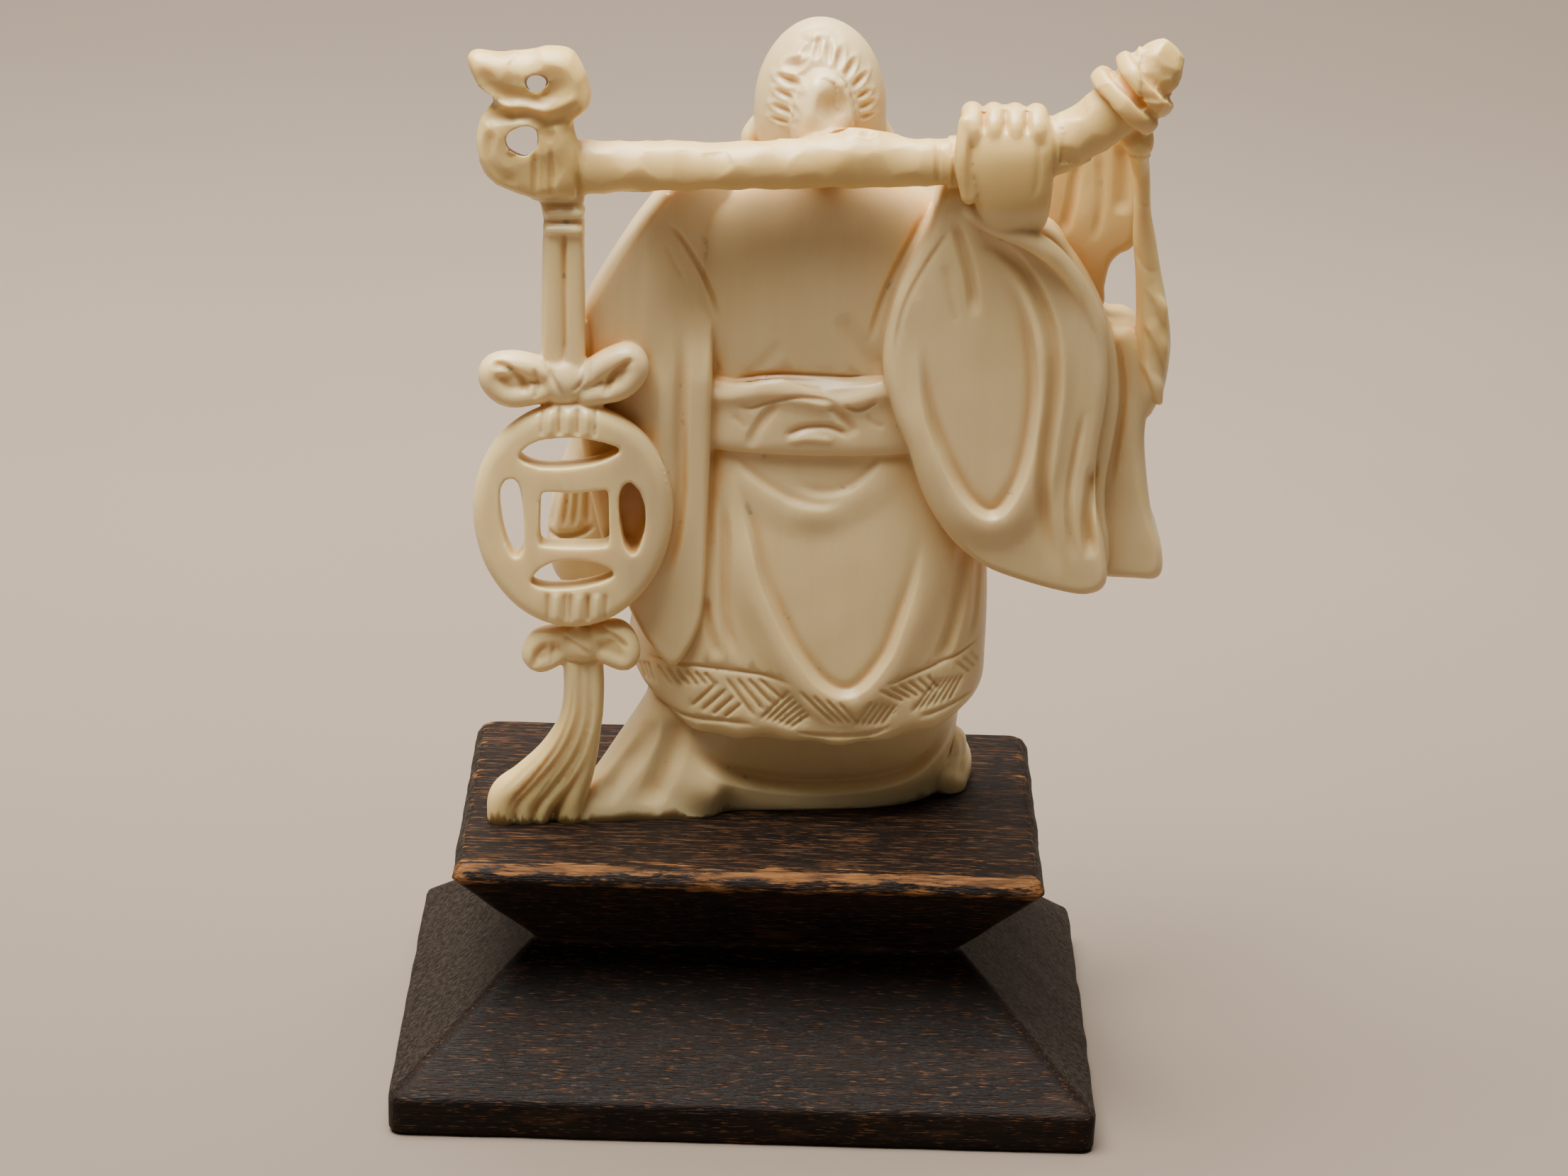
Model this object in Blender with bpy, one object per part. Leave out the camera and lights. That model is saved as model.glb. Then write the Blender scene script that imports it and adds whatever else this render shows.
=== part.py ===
"""An ivory figure of a tall-browed sage, a root-headed staff over the shoulders, on a waisted wooden plinth.

The figure faces +Y, and its carved back, the side that is shown, faces -Y. Lengths below are in millimetres.
"""

import math

import bmesh
import bpy
import numpy as np
from mathutils import Vector

MM = 0.001

# The plinth: a splayed foot over a low band, a narrow waist, and a flared slab that carries the figure.
FOOT_WIDTH = 60.0
FOOT_DEPTH = 44.0
FOOT_BAND = 3.5
FOOT_SLOPE_HEIGHT = 9.8
FLARE_HEIGHT = 8.1
SLAB_BEVEL_HEIGHT = 1.3
WAIST_INSET = 11.7
RIM_INSET = 4.9
SLAB_BEVEL = 0.8
EDGE_WEAR = 0.7
PLINTH_HEIGHT = FOOT_BAND + FOOT_SLOPE_HEIGHT + FLARE_HEIGHT + SLAB_BEVEL_HEIGHT

# The figure's real height from its flat underside to the staff's tip, and the hairline it stands above the
# plinth. Its forms are drawn a little deeper than that underside, and the trim is cut off their lowest level.
FIGURE_HEIGHT = 70.4
REST_GAP = 0.3
GROUND_TRIM = 2.0

# The robe's hem starts at this level and rises towards both sides.
HEM_LEVEL = 30.4
HEM_RISE = 5.0
HEM_RISE_TOP = 40.0

# How finely the forms are laid out, the grid that fuses them, and how many faces the carving keeps.
SPACING = 0.55
FUSE_GRID = 0.36
FUSE_PASSES = 2
FIGURE_TRIANGLES = 9200

IVORY = (0.86, 0.76, 0.58, 1.0)
EBONISED_WOOD = (0.045, 0.032, 0.026, 1.0)


def clear_scene():
    for old in list(bpy.data.objects):
        bpy.data.objects.remove(old)


def plain_material(name, colour, roughness):
    material = bpy.data.materials.new(name)
    material.use_nodes = True
    shader = material.node_tree.nodes["Principled BSDF"]
    shader.inputs["Base Color"].default_value = colour
    shader.inputs["Roughness"].default_value = roughness
    shader.inputs["Metallic"].default_value = 0.0
    return material


# Curves and forms


def unit(vectors):
    return vectors / np.maximum(np.linalg.norm(vectors, axis=-1, keepdims=True), 1e-9)


def curve_through(points, closed=False):
    """A smooth curve through the points, sampled about every SPACING. Any further columns ride along."""
    points = np.asarray(points, float)
    if closed:
        padded = np.vstack([points[-1], points, points[0], points[1]])
    else:
        padded = np.vstack([2 * points[0] - points[1], points, 2 * points[-1] - points[-2]])
    rows = []
    for a, b, c, d in zip(padded[:-3], padded[1:-2], padded[2:-1], padded[3:]):
        steps = max(2, math.ceil(np.linalg.norm((c - b)[:3]) / SPACING))
        t = np.arange(steps)[:, None] / steps
        rows.append(b + 0.5 * t * (c - a + t * (2 * a - 5 * b + 4 * c - d + t * (3 * (b - c) + d - a))))
    if not closed:
        rows.append(points[-1:])
    return np.vstack(rows)


def rounded_angle(count, power):
    """Cosine and sine round a section that goes from round, power 2, towards square as power grows."""
    angle = np.arange(count) * 2 * math.pi / count
    cos, sin = np.cos(angle), np.sin(angle)
    share = 2.0 / power
    return np.sign(cos) * np.abs(cos) ** share, np.sign(sin) * np.abs(sin) ** share


def skin(rings, closed=False):
    """Vertices and faces of a tube through equally long rings, with a face over each open end."""
    count, around = rings.shape[:2]
    faces = []
    for i in range(count if closed else count - 1):
        here, after = i * around, ((i + 1) % count) * around
        for j in range(around):
            k = (j + 1) % around
            faces.append((here + j, here + k, after + k, after + j))
    if not closed:
        faces.append(tuple(reversed(range(around))))
        faces.append(tuple((count - 1) * around + j for j in range(around)))
    return rings.reshape(-1, 3), faces


def limb(stations, power=2.0, reference=(0, 1, 0), closed=False):
    """A tube. Its stations are x, y, z, half width across the reference direction, and half depth along it."""
    rows = curve_through(stations, closed)
    centres = rows[:, :3]
    if closed:
        tangents = np.roll(centres, -1, axis=0) - np.roll(centres, 1, axis=0)
    else:
        tangents = np.gradient(centres, axis=0)
    tangents = unit(tangents)
    side = unit(np.cross(np.array(reference, float), tangents))
    lift = unit(np.cross(tangents, side))
    around = max(12, math.ceil(2 * math.pi * rows[:, 3:].max() / SPACING))
    cos, sin = rounded_angle(around, power)
    width, depth = rows[:, 3, None, None], rows[:, 4, None, None]
    spokes = side[:, None] * width * cos[None, :, None] + lift[:, None] * depth * sin[None, :, None]
    rings = centres[:, None] + spokes
    if closed:
        return skin(rings, closed=True)
    caps = []
    for end, outward in ((0, -1), (-1, 1)):
        reach = min(rows[end, 3:])
        turns = np.linspace(0, 0.5 * math.pi, 6)[1:]
        bulge = outward * reach * tangents[end]
        cap = [centres[end] + math.sin(a) * bulge + spokes[end] * max(math.cos(a), 0.02) for a in turns]
        caps.append(np.array(cap))
    return skin(np.concatenate([caps[0][::-1], rings, caps[1]]))


def ring_band(centre, axis, radius, half_width, half_thickness):
    """A band that goes round a stick: a turned ring with a rounded section."""
    axis = unit(np.array(axis, float))
    first = unit(np.cross(axis, (0, 1, 0)))
    second = np.cross(axis, first)
    angle = np.arange(20) * 2 * math.pi / 20
    path = np.array(centre) + radius * (np.cos(angle)[:, None] * first + np.sin(angle)[:, None] * second)
    stations = np.column_stack([path, np.full(20, half_thickness), np.full(20, half_width)])
    return limb(stations, reference=axis, closed=True, power=2.6)


def ellipsoid(centre, radii):
    rings = []
    around = max(14, math.ceil(2 * math.pi * max(radii) / SPACING))
    cos, sin = rounded_angle(around, 2.0)
    for tilt in np.linspace(-0.5 * math.pi, 0.5 * math.pi, around // 2 + 2):
        flat = max(math.cos(tilt), 0.02)
        level = np.full(around, radii[2] * math.sin(tilt))
        ring = np.column_stack([radii[0] * flat * cos, radii[1] * flat * sin, level])
        rings.append(ring + np.array(centre))
    return skin(np.array(rings))


def pillow(outline, centre, back, front, rounding=1.2, crown=0.0):
    """A flat piece of cloth seen from behind: a smooth closed outline of (x, z) points round a centre that
    sees all of it, from the depth back to the depth front, with rounded edges, its faces swollen by crown."""
    flat = np.array([(x, 0.0, z) for x, z in outline])
    rim = curve_through(flat, closed=True)
    if np.cross(rim[:, [0, 2]], np.roll(rim[:, [0, 2]], -1, axis=0)).sum() < 0:
        rim = rim[::-1]
    middle = np.array([centre[0], 0.0, centre[1]])
    reach = np.linalg.norm(rim - middle, axis=1)[:, None]
    half = 0.5 * (front - back)
    rounding = min(rounding, half)
    edge_shares = [rounding * (1 - math.sin(a)) / reach for a in np.linspace(0.5 * math.pi, 0, 6)]
    steps = math.ceil(reach.max() / SPACING)
    last = edge_shares[-1]
    shares = edge_shares + [last + (0.98 - last) * step / steps for step in range(1, steps + 1)]
    sides = {}
    for sign in (-1, 1):
        sides[sign] = []
        for share in shares:
            edge = 1 - np.clip(share * reach / rounding, 0, 1)
            swell = crown * np.sin(0.5 * math.pi * share)
            depth = 0.5 * (back + front) + sign * (half - rounding + rounding * np.sqrt(1 - edge**2) + swell)
            ring = rim + (middle - rim) * share
            ring[:, 1] = depth[:, 0]
            sides[sign].append(ring)
    return skin(np.array(sides[-1][::-1] + sides[1]))


def loft(levels, power=2.6):
    """A standing form. Its levels are height, middle x, half width, depth of its back and of its front."""
    levels = np.asarray(levels, float)
    keyed = np.column_stack([np.zeros((len(levels), 2)), levels])
    rows = curve_through(keyed)[:, 2:]
    around = math.ceil(2 * math.pi * levels[:, 2].max() / SPACING)
    cos, sin = rounded_angle(around, power)
    rings = []
    for height, middle, half_width, back, front in rows:
        x = middle + half_width * cos
        y = 0.5 * (back + front) + 0.5 * (front - back) * sin
        rings.append(np.column_stack([x, y, np.full(around, height)]))
    return skin(np.array(rings))


def skirt(levels):
    """A standing form through outlines of (x, y) points at rising heights, all with as many points."""
    heights = np.array([height for height, _ in levels])
    outlines = [curve_at_even_steps(points) for _, points in levels]
    rings = []
    for height in np.arange(heights[0], heights[-1] + 0.5 * SPACING, SPACING):
        at = np.searchsorted(heights, height, side="right") - 1
        at = min(at, len(heights) - 2)
        share = (height - heights[at]) / (heights[at + 1] - heights[at])
        mixed = outlines[at] * (1 - share) + outlines[at + 1] * share
        rings.append(np.column_stack([mixed, np.full(len(mixed), height)]))
    return skin(np.array(rings))


def curve_at_even_steps(points, count=160):
    """A closed curve through the points, with the same number of steps between each pair."""
    points = np.asarray(points, float)
    per = count // len(points)
    rows = []
    for i in range(len(points)):
        a, b, c, d = (points[(i + k) % len(points)] for k in (-1, 0, 1, 2))
        t = np.arange(per)[:, None] / per
        rows.append(b + 0.5 * t * (c - a + t * (2 * a - 5 * b + 4 * c - d + t * (3 * (b - c) + d - a))))
    return np.vstack(rows)


# The garments, from the ground up


def under_robe():
    return skirt([
        (21.0, [(-16, -6.3), (-9, -5.9), (-3.8, -4.8), (-1.3, -2.6), (6, -1.5), (13.3, -0.1),
                (17, 3.6), (16.6, 8.6), (8, 11.2), (-3, 10.8), (-10, 7.2), (-14.8, 0)]),
        (24.0, [(-15, -6), (-9, -5.6), (-3.8, -4.6), (-1.3, -2.5), (6, -1.3), (13.3, 0.1),
                (17, 3.6), (16.6, 8.6), (8, 11), (-3, 10.6), (-10, 7), (-14.2, 0)]),
        (28.0, [(-11.6, -4.2), (-7.6, -4.6), (-3.4, -4.2), (0, -2.8), (6, -2.2), (13, -1.6),
                (17.4, 2), (16.8, 7.6), (8.5, 9.6), (-2, 9.4), (-8.5, 6.4), (-11.9, 0)]),
        (32.0, [(-8.4, -3.4), (-5, -3.8), (-1.5, -3.8), (1.5, -3.6), (7, -3.4), (13, -3),
                (17.6, 0.8), (17, 6.6), (9, 8.8), (-1, 8.6), (-7, 6.2), (-9.4, 0.6)]),
        (35.0, [(-7.6, -3), (-4.6, -3.6), (-1, -3.8), (2, -3.8), (7, -3.6), (13, -3.2),
                (17.5, 0), (17, 6), (9, 8), (0, 8), (-5.6, 6), (-8.4, 1)]),
    ])


def robe():
    points, faces = loft([
        (HEM_LEVEL, 4.5, 14.6, -5.7, 8.8), (HEM_LEVEL + 1.2, 4.5, 15.3, -6.4, 9.3),
        (36, 4.5, 15.4, -6.5, 9.5),
        (45, 4.8, 14.9, -6.1, 9.5), (52, 4.6, 13.4, -5.4, 9.2), (57, 4.2, 11.8, -5.0, 8.8),
        (62, 4.0, 11.6, -4.9, 8.4), (68, 3.9, 12.4, -5.2, 7.8), (74, 3.9, 12.4, -5.0, 6.8),
        (77.5, 3.9, 10.8, -4.5, 5.8), (79.6, 4.0, 7.5, -3.8, 5.2), (81.5, 4.1, 4.2, -2.8, 4.8),
    ])
    # The hem sags in the middle, rises towards both sides and waves a little on its way.
    low = np.clip((HEM_RISE_TOP - points[:, 2]) / (HEM_RISE_TOP - HEM_LEVEL), 0, 1)
    rise = HEM_RISE * ((points[:, 0] - 5) / 15.7) ** 4
    points[:, 2] += low * (rise + 0.25 * np.sin(0.55 * points[:, 0] + 0.6))
    return points, faces


def left_sleeve():
    behind = pillow(
        [(-7.2, 78), (-11.6, 73.4), (-15, 67.6), (-15.6, 61), (-14.6, 54), (-12.8, 47), (-10.5, 41.6),
         (-8.8, 38.8), (-7, 36.9), (-5.6, 38.6), (-4.7, 42), (-3.9, 47.7), (-3.6, 54.7), (-3.6, 61),
         (-3.7, 67), (-4, 73)],
        (-8.6, 58), -6.3, 0.5, 0.9, 0.25)
    ahead = pillow(
        [(-7, 76), (-12, 72.5), (-15.2, 66), (-16, 60), (-16.4, 54), (-18, 48.6), (-17.6, 43.2), (-15, 41.2),
         (-11, 41.6), (-6, 43.5), (-3, 50), (-2.5, 60), (-3, 70)],
        (-9.5, 57), -0.6, 7.2, 1.8)
    return [behind, ahead]


def right_sleeve():
    behind = pillow(
        [(14.8, 78.3), (12.2, 73.9), (10.6, 70), (9.9, 65), (10.8, 61), (12.2, 57.5), (13.9, 53),
         (15.6, 50.3), (17.2, 48.6), (19.5, 47), (22.3, 46), (25.3, 45.2), (28, 44.9), (29.5, 46),
         (29.2, 49.4), (28.3, 53),
         (28.1, 57), (28.5, 60.5), (28.7, 63.6), (28.5, 66.4), (27.4, 69.9), (26.1, 72.2), (24.3, 74.2),
         (22.4, 75.9), (19.8, 77.2), (17.2, 78.3)],
        (19.6, 62), -7.2, -2.2, 1.1, 0.35)
    lining = pillow(
        [(14, 77), (12, 68), (13, 58), (17, 50), (21, 47.5), (26, 46.2), (29.4, 46.4), (29.7, 49), (29.2, 52),
         (29.2, 55), (29.6, 58.5), (29.9, 61.6), (29.6, 64.6), (29, 67.2), (27.6, 70.6), (25.4, 74),
         (22.6, 76.8)],
        (20.5, 62), -5.4, -0.8, 0.9)
    ahead = pillow(
        [(16, 76), (22.5, 73.4), (26.4, 70.4), (28.6, 68.8), (31.0, 68.3), (32.8, 65), (32.7, 61), (32.4, 58),
         (32.8, 54), (33.5, 50.4), (34.5, 47.4), (34.3, 45.2), (32, 45), (27, 45.3), (21, 46.6), (16, 50),
         (13, 57), (13, 68)],
        (23, 60), -3.4, 5.2, 1.4)
    rim = limb([(13.6, -6.0, 79.4, 0.8, 0.8), (16.1, -7.4, 78.2, 0.85, 0.9), (19.7, -8.4, 76.9, 0.9, 1.0),
                (23.0, -8.0, 75.4, 0.9, 1.0), (25.6, -6.9, 72.4, 0.85, 0.9), (27.2, -6.4, 68.8, 0.8, 0.8)])
    return [behind, lining, ahead, rim]


def sash():
    points, faces = loft([
        (56.3, 4.1, 12.2, -5.6, 9.2), (57.3, 4.1, 12.3, -6.0, 9.4), (60.2, 4.0, 12.1, -6.0, 9.2),
        (61.6, 4.0, 12.2, -6.4, 9.3), (62.6, 4.0, 11.9, -5.8, 8.9),
    ])
    # Its upper edge rolls over in a slow wave.
    high = np.clip((points[:, 2] - 58) / 4.6, 0, 1)
    points[:, 2] += high * 0.6 * np.sin(0.62 * points[:, 0] + 1.0)
    return points, faces


def shoes():
    heel = limb([(17.4, 3.4, 23.4, 1.6, 1.9), (17.6, 5.5, 24.4, 1.9, 2.4), (16.8, 9.5, 24, 2.1, 2.2),
                 (16, 13, 23.6, 1.9, 1.7)], reference=(0, 0, 1))
    ankle = limb([(17.5, 4.6, 22.6, 1.5, 1.6), (17.6, 4.8, 26.8, 1.3, 1.4)])
    toe = limb([(-2, 7, 23.8, 2.2, 2.0), (-2.6, 11, 23.8, 2.2, 2.1), (-3, 13.4, 23.6, 1.8, 1.6)],
               reference=(0, 0, 1))
    return [heel, ankle, toe]


# The head and the hands


def head():
    forms = [
        ellipsoid((4.1, 1.5, 84.5), (5.5, 5.5, 7.8)),
        ellipsoid((4.1, 3.2, 80.8), (4.3, 4.1, 3.8)),
        limb([(4.1, 1.6, 77, 3.0, 2.8), (4.1, 1.5, 82, 2.8, 2.6)]),
        ellipsoid((4.5, -3.4, 83.8), (2.9, 3.1, 4.7)),
    ]
    for side in (-1, 1):
        ear = 4.1 + side * 5.2
        forms.append(limb([(ear, 1.9, 82.8, 0.75, 1.0), (ear + 0.55 * side, 2.1, 81.4, 0.8, 1.2),
                           (ear, 2.5, 78.8, 0.7, 0.9)]))
        brow = [(0.9, 6.9, 85.9, 0.35, 0.35), (2.6, 6.5, 86.4, 0.45, 0.4), (4.2, 5.2, 85.4, 0.35, 0.35)]
        moustache = [(0.5, 7.4, 81.6, 0.4, 0.4), (2.2, 7.1, 80.5, 0.5, 0.45), (3.2, 7.2, 77.6, 0.35, 0.4)]
        for stations in (brow, moustache):
            forms.append(limb([(4.1 + side * across, *rest) for across, *rest in stations]))
    nose = limb([(4.1, 6.7, 85.4, 0.5, 0.6), (4.1, 7.6, 83.4, 0.65, 0.8), (4.1, 8.0, 82.3, 0.95, 0.75)])
    beard = limb([(4.1, 5.6, 79.8, 3.5, 2.0), (3.9, 7.4, 75.5, 3.3, 1.8), (3.6, 8.6, 70, 2.6, 1.6),
                  (3.2, 9.6, 64.5, 1.6, 1.2), (3.0, 9.9, 61.5, 0.7, 0.8)])
    return forms + [nose, beard]


def raised_hand():
    """The figure's right hand, seen from behind, closed over the staff."""
    forms = [
        limb([(20.0, -6.2, 75.6, 2.0, 1.6), (19.9, -7.0, 77.8, 2.7, 2.2), (19.7, -7.7, 80.2, 3.4, 2.7),
              (19.4, -7.9, 83.4, 3.75, 2.7), (19.3, -7.5, 85.2, 3.65, 2.2)], power=3.0),
        limb([(15.9, -8.9, 86.2, 0.7, 0.8), (15.7, -9.6, 83.4, 0.75, 0.9), (16.3, -9.4, 80.2, 0.7, 0.9)]),
    ]
    for knuckle in range(4):
        x = 16.7 + 1.72 * knuckle
        finger = [(-9.5, 83.6, 0.95), (-9.1, 85.6, 0.95), (-7.2, 86.5, 0.95), (-5.0, 85.6, 0.9),
                  (-4.3, 83.4, 0.85), (-5.2, 81.2, 0.8)]
        forms.append(limb([(x, y, z, thick, thick) for y, z, thick in finger], reference=(1, 0, 0)))
    return forms


def lowered_hand():
    """The other arm, folded across the front, with its hand against the beard."""
    forms = [
        limb([(-11.5, 2.5, 66, 3.6, 3.2), (-8.5, 5.6, 62.4, 3.6, 3.0), (-3.6, 8.4, 62.2, 3.4, 2.6)]),
        ellipsoid((0.4, 9.6, 63.0), (2.3, 1.5, 2.1)),
    ]
    for finger in range(4):
        z = 64.4 - 0.98 * finger
        forms.append(limb([(0.6, 10.6, z, 0.55, 0.55), (2.6, 11.5, z - 0.1, 0.55, 0.55),
                           (4.2, 11.0, z - 0.2, 0.5, 0.5)]))
    return forms


# What is carried


def staff():
    stations = []
    for share in np.linspace(0, 1, 19):
        x = -17.5 + 36.5 * share
        knob = 0.12 * math.sin(11 * share + 0.4) + 0.07 * math.sin(29 * share)
        swell = 0.3 * math.exp(-((x - 6.9) / 2.6) ** 2)
        z = 80.95 + 1.75 * share + 0.4 * knob + swell
        stations.append((x, -7.2, z, 2.15 + knob + swell, 2.15 - 0.5 * knob))
    bound_end = [(27.8, -7, 87.2, 2.45, 2.3), (29.8, -7, 89.3, 2.45, 2.25)]
    stations += [(22.6, -7.1, 83.7, 2.3, 2.2), (25.4, -7, 85.2, 2.35, 2.25), *bound_end,
                 (31.6, -7, 91.3, 2.3, 2.0)]
    low, high = (np.array(station[:3]) for station in bound_end)
    bands = []
    for share, radius in ((0.2, 2.6), (0.85, 2.75)):
        bands.append(ring_band(low + share * (high - low), high - low, radius, 0.64, 0.64))
    return [limb(stations)] + bands


def root_head():
    """The knotted root that ends the staff: two thick rings that share a side, and a spur."""
    upper = [(-21.2, 88.2, 1.4), (-20.3, 89.7, 1.15), (-18.9, 90.0, 1.15), (-17.2, 89.4, 1.6),
             (-16.4, 87.9, 1.85), (-17.2, 86.3, 1.6), (-18.9, 85.8, 1.4), (-20.5, 86.7, 1.3)]
    lower = [(-22.7, 83.3, 1.4), (-22.2, 85.1, 1.35), (-20.3, 85.8, 1.4), (-18.1, 85.1, 1.5),
             (-17.5, 83.3, 1.55), (-18.0, 81.2, 1.6), (-20.1, 80.5, 1.6), (-22.0, 81.4, 1.45)]
    rings = [limb([(x, -8.0, z, thick, 1.6) for x, z, thick in ring], closed=True) for ring in (upper, lower)]
    spur = limb([(-21.2, -8.0, 88.4, 2.3, 1.6), (-22.6, -8.0, 88.9, 1.8, 1.4), (-23.9, -8.0, 89.7, 0.9, 0.9)])
    neck = limb([(-17.4, -7.9, 84.8, 1.4, 1.6), (-16.4, -7.5, 82.4, 2.0, 2.0), (-15.6, -7.3, 81.2, 2.1, 2.1)])
    return rings + [spur, neck]


def cord_bindings():
    forms = [ring_band((x, -7.3, 80.9), (1, 0, 0), 2.25, 0.78, 0.55) for x in (-18.0, -16.1)]
    for z in (77.8, 76.7):
        forms.append(limb([(-17.9, -7.5, z, 0.5, 1.45), (-15.4, -7.5, z, 0.5, 1.45)], power=2.6))
    forms.append(limb([(-16.9, -7.4, 80, 2.1, 1.3), (-16.8, -7.4, 77, 1.6, 1.2)], power=2.8))
    for x, width in ((-17.45, 0.98), (-15.75, 0.92)):
        forms.append(limb([(x, -7.4, 76.6, width * 0.9, 1.15), (x, -7.4, 71, width, 1.2),
                           (x + 0.1, -7.4, 63.5, width * 1.05, 1.2)], power=2.8))
    return forms


def bow(knot, knot_radii, loops, cord):
    """A knot with its fleshy loops. Each loop is the way its cord goes out and back, as (x, z) points."""
    forms = [ellipsoid(knot, knot_radii)]
    for loop in loops:
        forms.append(limb([(x, knot[1], z, cord, 1.3 * cord) for x, z in loop]))
        # The loop isn't cut through: a thin web of ivory stays inside it.
        middle = np.mean(loop, axis=0)
        forms.append(ellipsoid((middle[0], knot[1] + 0.2, middle[1]), (1.9, 0.8, 1.1)))
    return forms


def bows():
    upper = bow((-16.5, -7.9, 63.0), (2.3, 1.6, 2.0), [
        [(-18.0, 63.9), (-20.4, 64.4), (-22.2, 64.1), (-22.4, 62.9), (-20.9, 61.7), (-18.2, 62.2)],
        [(-14.8, 63.4), (-12.8, 64.8), (-11.1, 65.4), (-10.5, 64.3), (-11.7, 62.7), (-14.4, 62.0)],
    ], 1.1)
    lower = bow((-14.9, -7.3, 39.6), (2.1, 1.5, 1.9), [
        [(-16.4, 40.4), (-18.2, 39.9), (-18.9, 38.6), (-18.2, 37.8), (-16.6, 38.6)],
        [(-13.4, 40.6), (-11.6, 40.8), (-10.7, 39.4), (-11.0, 38.2), (-12.8, 38.8)],
    ], 0.95)
    return upper + lower


COIN_CENTRE = (-15.6, 51.4)
COIN_RADII = (8.4, 9.9)
COIN_OPENING_RADII = (6.2, 6.7)
COIN_OPENING_LIFT = 0.4
COIN_VAULT = 1.3
COIN_HALF_THICKNESS = 1.15
COIN_DEPTH = -7.0


def coin_depth(x):
    """The pierced coin is vaulted: its middle stands nearer to whoever looks at the figure's back."""
    return COIN_DEPTH - COIN_VAULT * (1 - ((x - COIN_CENTRE[0]) / COIN_RADII[0]) ** 2)


def coin_bar(points, half_width):
    return limb([(x, coin_depth(x), z, half_width, COIN_HALF_THICKNESS) for x, z in points], power=3.4)


def coin():
    """A round coin with a square window, pierced between the window's frame and the rim."""
    rim = []
    for step in range(24):
        turn = step * 2 * math.pi / 24
        outward = np.array([math.cos(turn), math.sin(turn)])
        outer = outward * COIN_RADII
        inner = outward * COIN_OPENING_RADII + (0, COIN_OPENING_LIFT)
        x, z = COIN_CENTRE + 0.5 * (outer + inner)
        rim.append((x, coin_depth(x), z, 0.5 * np.linalg.norm(outer - inner), COIN_HALF_THICKNESS))
    forms = [limb(rim, closed=True, power=3.0)]
    x, z = COIN_CENTRE
    forms.append(coin_bar([(x - 3.6, z + 3.9), (x - 3.4, z + 0.3), (x - 3.6, z - 3.7)], 0.8))
    forms.append(coin_bar([(x + 3.7, z + 3.9), (x + 3.5, z + 0.3), (x + 3.7, z - 3.7)], 0.8))
    forms.append(coin_bar([(x - 5.6, z + 4.7), (x - 3.4, z + 3.65), (x, z + 3.2), (x + 3.4, z + 3.65),
                           (x + 5.6, z + 4.7)], 1.0))
    forms.append(coin_bar([(x - 5.2, z - 4.9), (x - 3.2, z - 3.9), (x, z - 3.5), (x + 3.2, z - 3.9),
                           (x + 5.2, z - 4.9)], 0.65))
    return forms


def tassel():
    """Strands that fall from the lower bow and swing out to a foot beside the trailing hem."""
    line = np.array([(-14.5, -7.0, 38.6), (-14.6, -7.0, 35), (-14.9, -7.0, 32.6), (-15.8, -6.9, 30.2),
                     (-17.2, -6.6, 27.8), (-18.5, -6.2, 25.2), (-19.1, -5.9, 22)])
    spreads = (0.75, 0.7, 0.72, 0.95, 1.35, 1.7, 1.9)
    forms = []
    for strand in (-1.5, -0.5, 0.5, 1.5):
        stations = []
        for (x, y, z), spread in zip(line, spreads):
            thick = 0.62 * spread**0.5 + 0.25
            stations.append((x + strand * spread, y + 0.12 * strand**2, z - 0.1 * strand, thick, 1.25))
        forms.append(limb(stations))
    return forms


def hanging_cloth():
    """What hangs from the staff's bound end: a thin fold of cloth, and a leafy sprig beside it."""
    cloth = pillow(
        [(20, 84), (24, 84.4), (28, 85.5), (30.8, 84), (31.3, 79), (31.2, 75.4), (30.4, 74.3), (29.4, 73.9),
         (28.7, 72.8), (28.2, 71), (28.1, 68), (24, 66), (20, 70), (19, 78)],
        (25, 77), -0.6, 2.4, 1.0)
    tie = limb([(30.4, -5.6, 84.2, 1.6, 1.8), (30.6, -3.4, 82.6, 1.2, 2.2), (30.8, -2.4, 79.6, 1.0, 1.8)])
    sprig = limb([(30.6, -2.8, 82.6, 0.9, 1.1), (31.0, -2.6, 78.3, 0.9, 1.1), (31.7, -2.4, 74.6, 0.9, 1.2),
                  (32.3, -2.2, 71, 1.3, 1.5), (32.7, -2.0, 67.8, 1.55, 1.9), (32.6, -1.8, 64, 1.5, 2.0),
                  (32.1, -1.6, 60.4, 0.9, 1.6)])
    leaves = []
    for step in range(5):
        z = 70.2 - 1.9 * step
        leaf = [(32.2, -2.6, z + 1.3, 0.5, 1.0), (33.2, -2.4, z, 0.7, 1.2), (33.6, -2.2, z - 1.4, 0.35, 0.9)]
        leaves.append(limb(leaf))
    return [cloth, tie, sprig] + leaves


# Fusing the forms and cutting the folds


def joined(name, forms):
    points = np.vstack([form[0] for form in forms])
    faces, base = [], 0
    for vertices, polygons in forms:
        faces += [tuple(base + i for i in polygon) for polygon in polygons]
        base += len(vertices)
    mesh = bpy.data.meshes.new(name)
    mesh.from_pydata(points.tolist(), [], faces)
    work = bpy.data.objects.new(name, mesh)
    bpy.context.scene.collection.objects.link(work)
    return work


def fused(work):
    """One skin over all the forms, with the soft inner corners that a carver's tools and polishing leave."""
    voxels = work.modifiers.new("fuse", "REMESH")
    voxels.mode = "VOXEL"
    voxels.voxel_size = FUSE_GRID
    soften = work.modifiers.new("soften", "SMOOTH")
    soften.factor = 0.5
    soften.iterations = FUSE_PASSES
    graph = bpy.context.evaluated_depsgraph_get()
    mesh = bpy.data.meshes.new_from_object(work.evaluated_get(graph))
    bpy.data.objects.remove(work)
    return mesh


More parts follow.
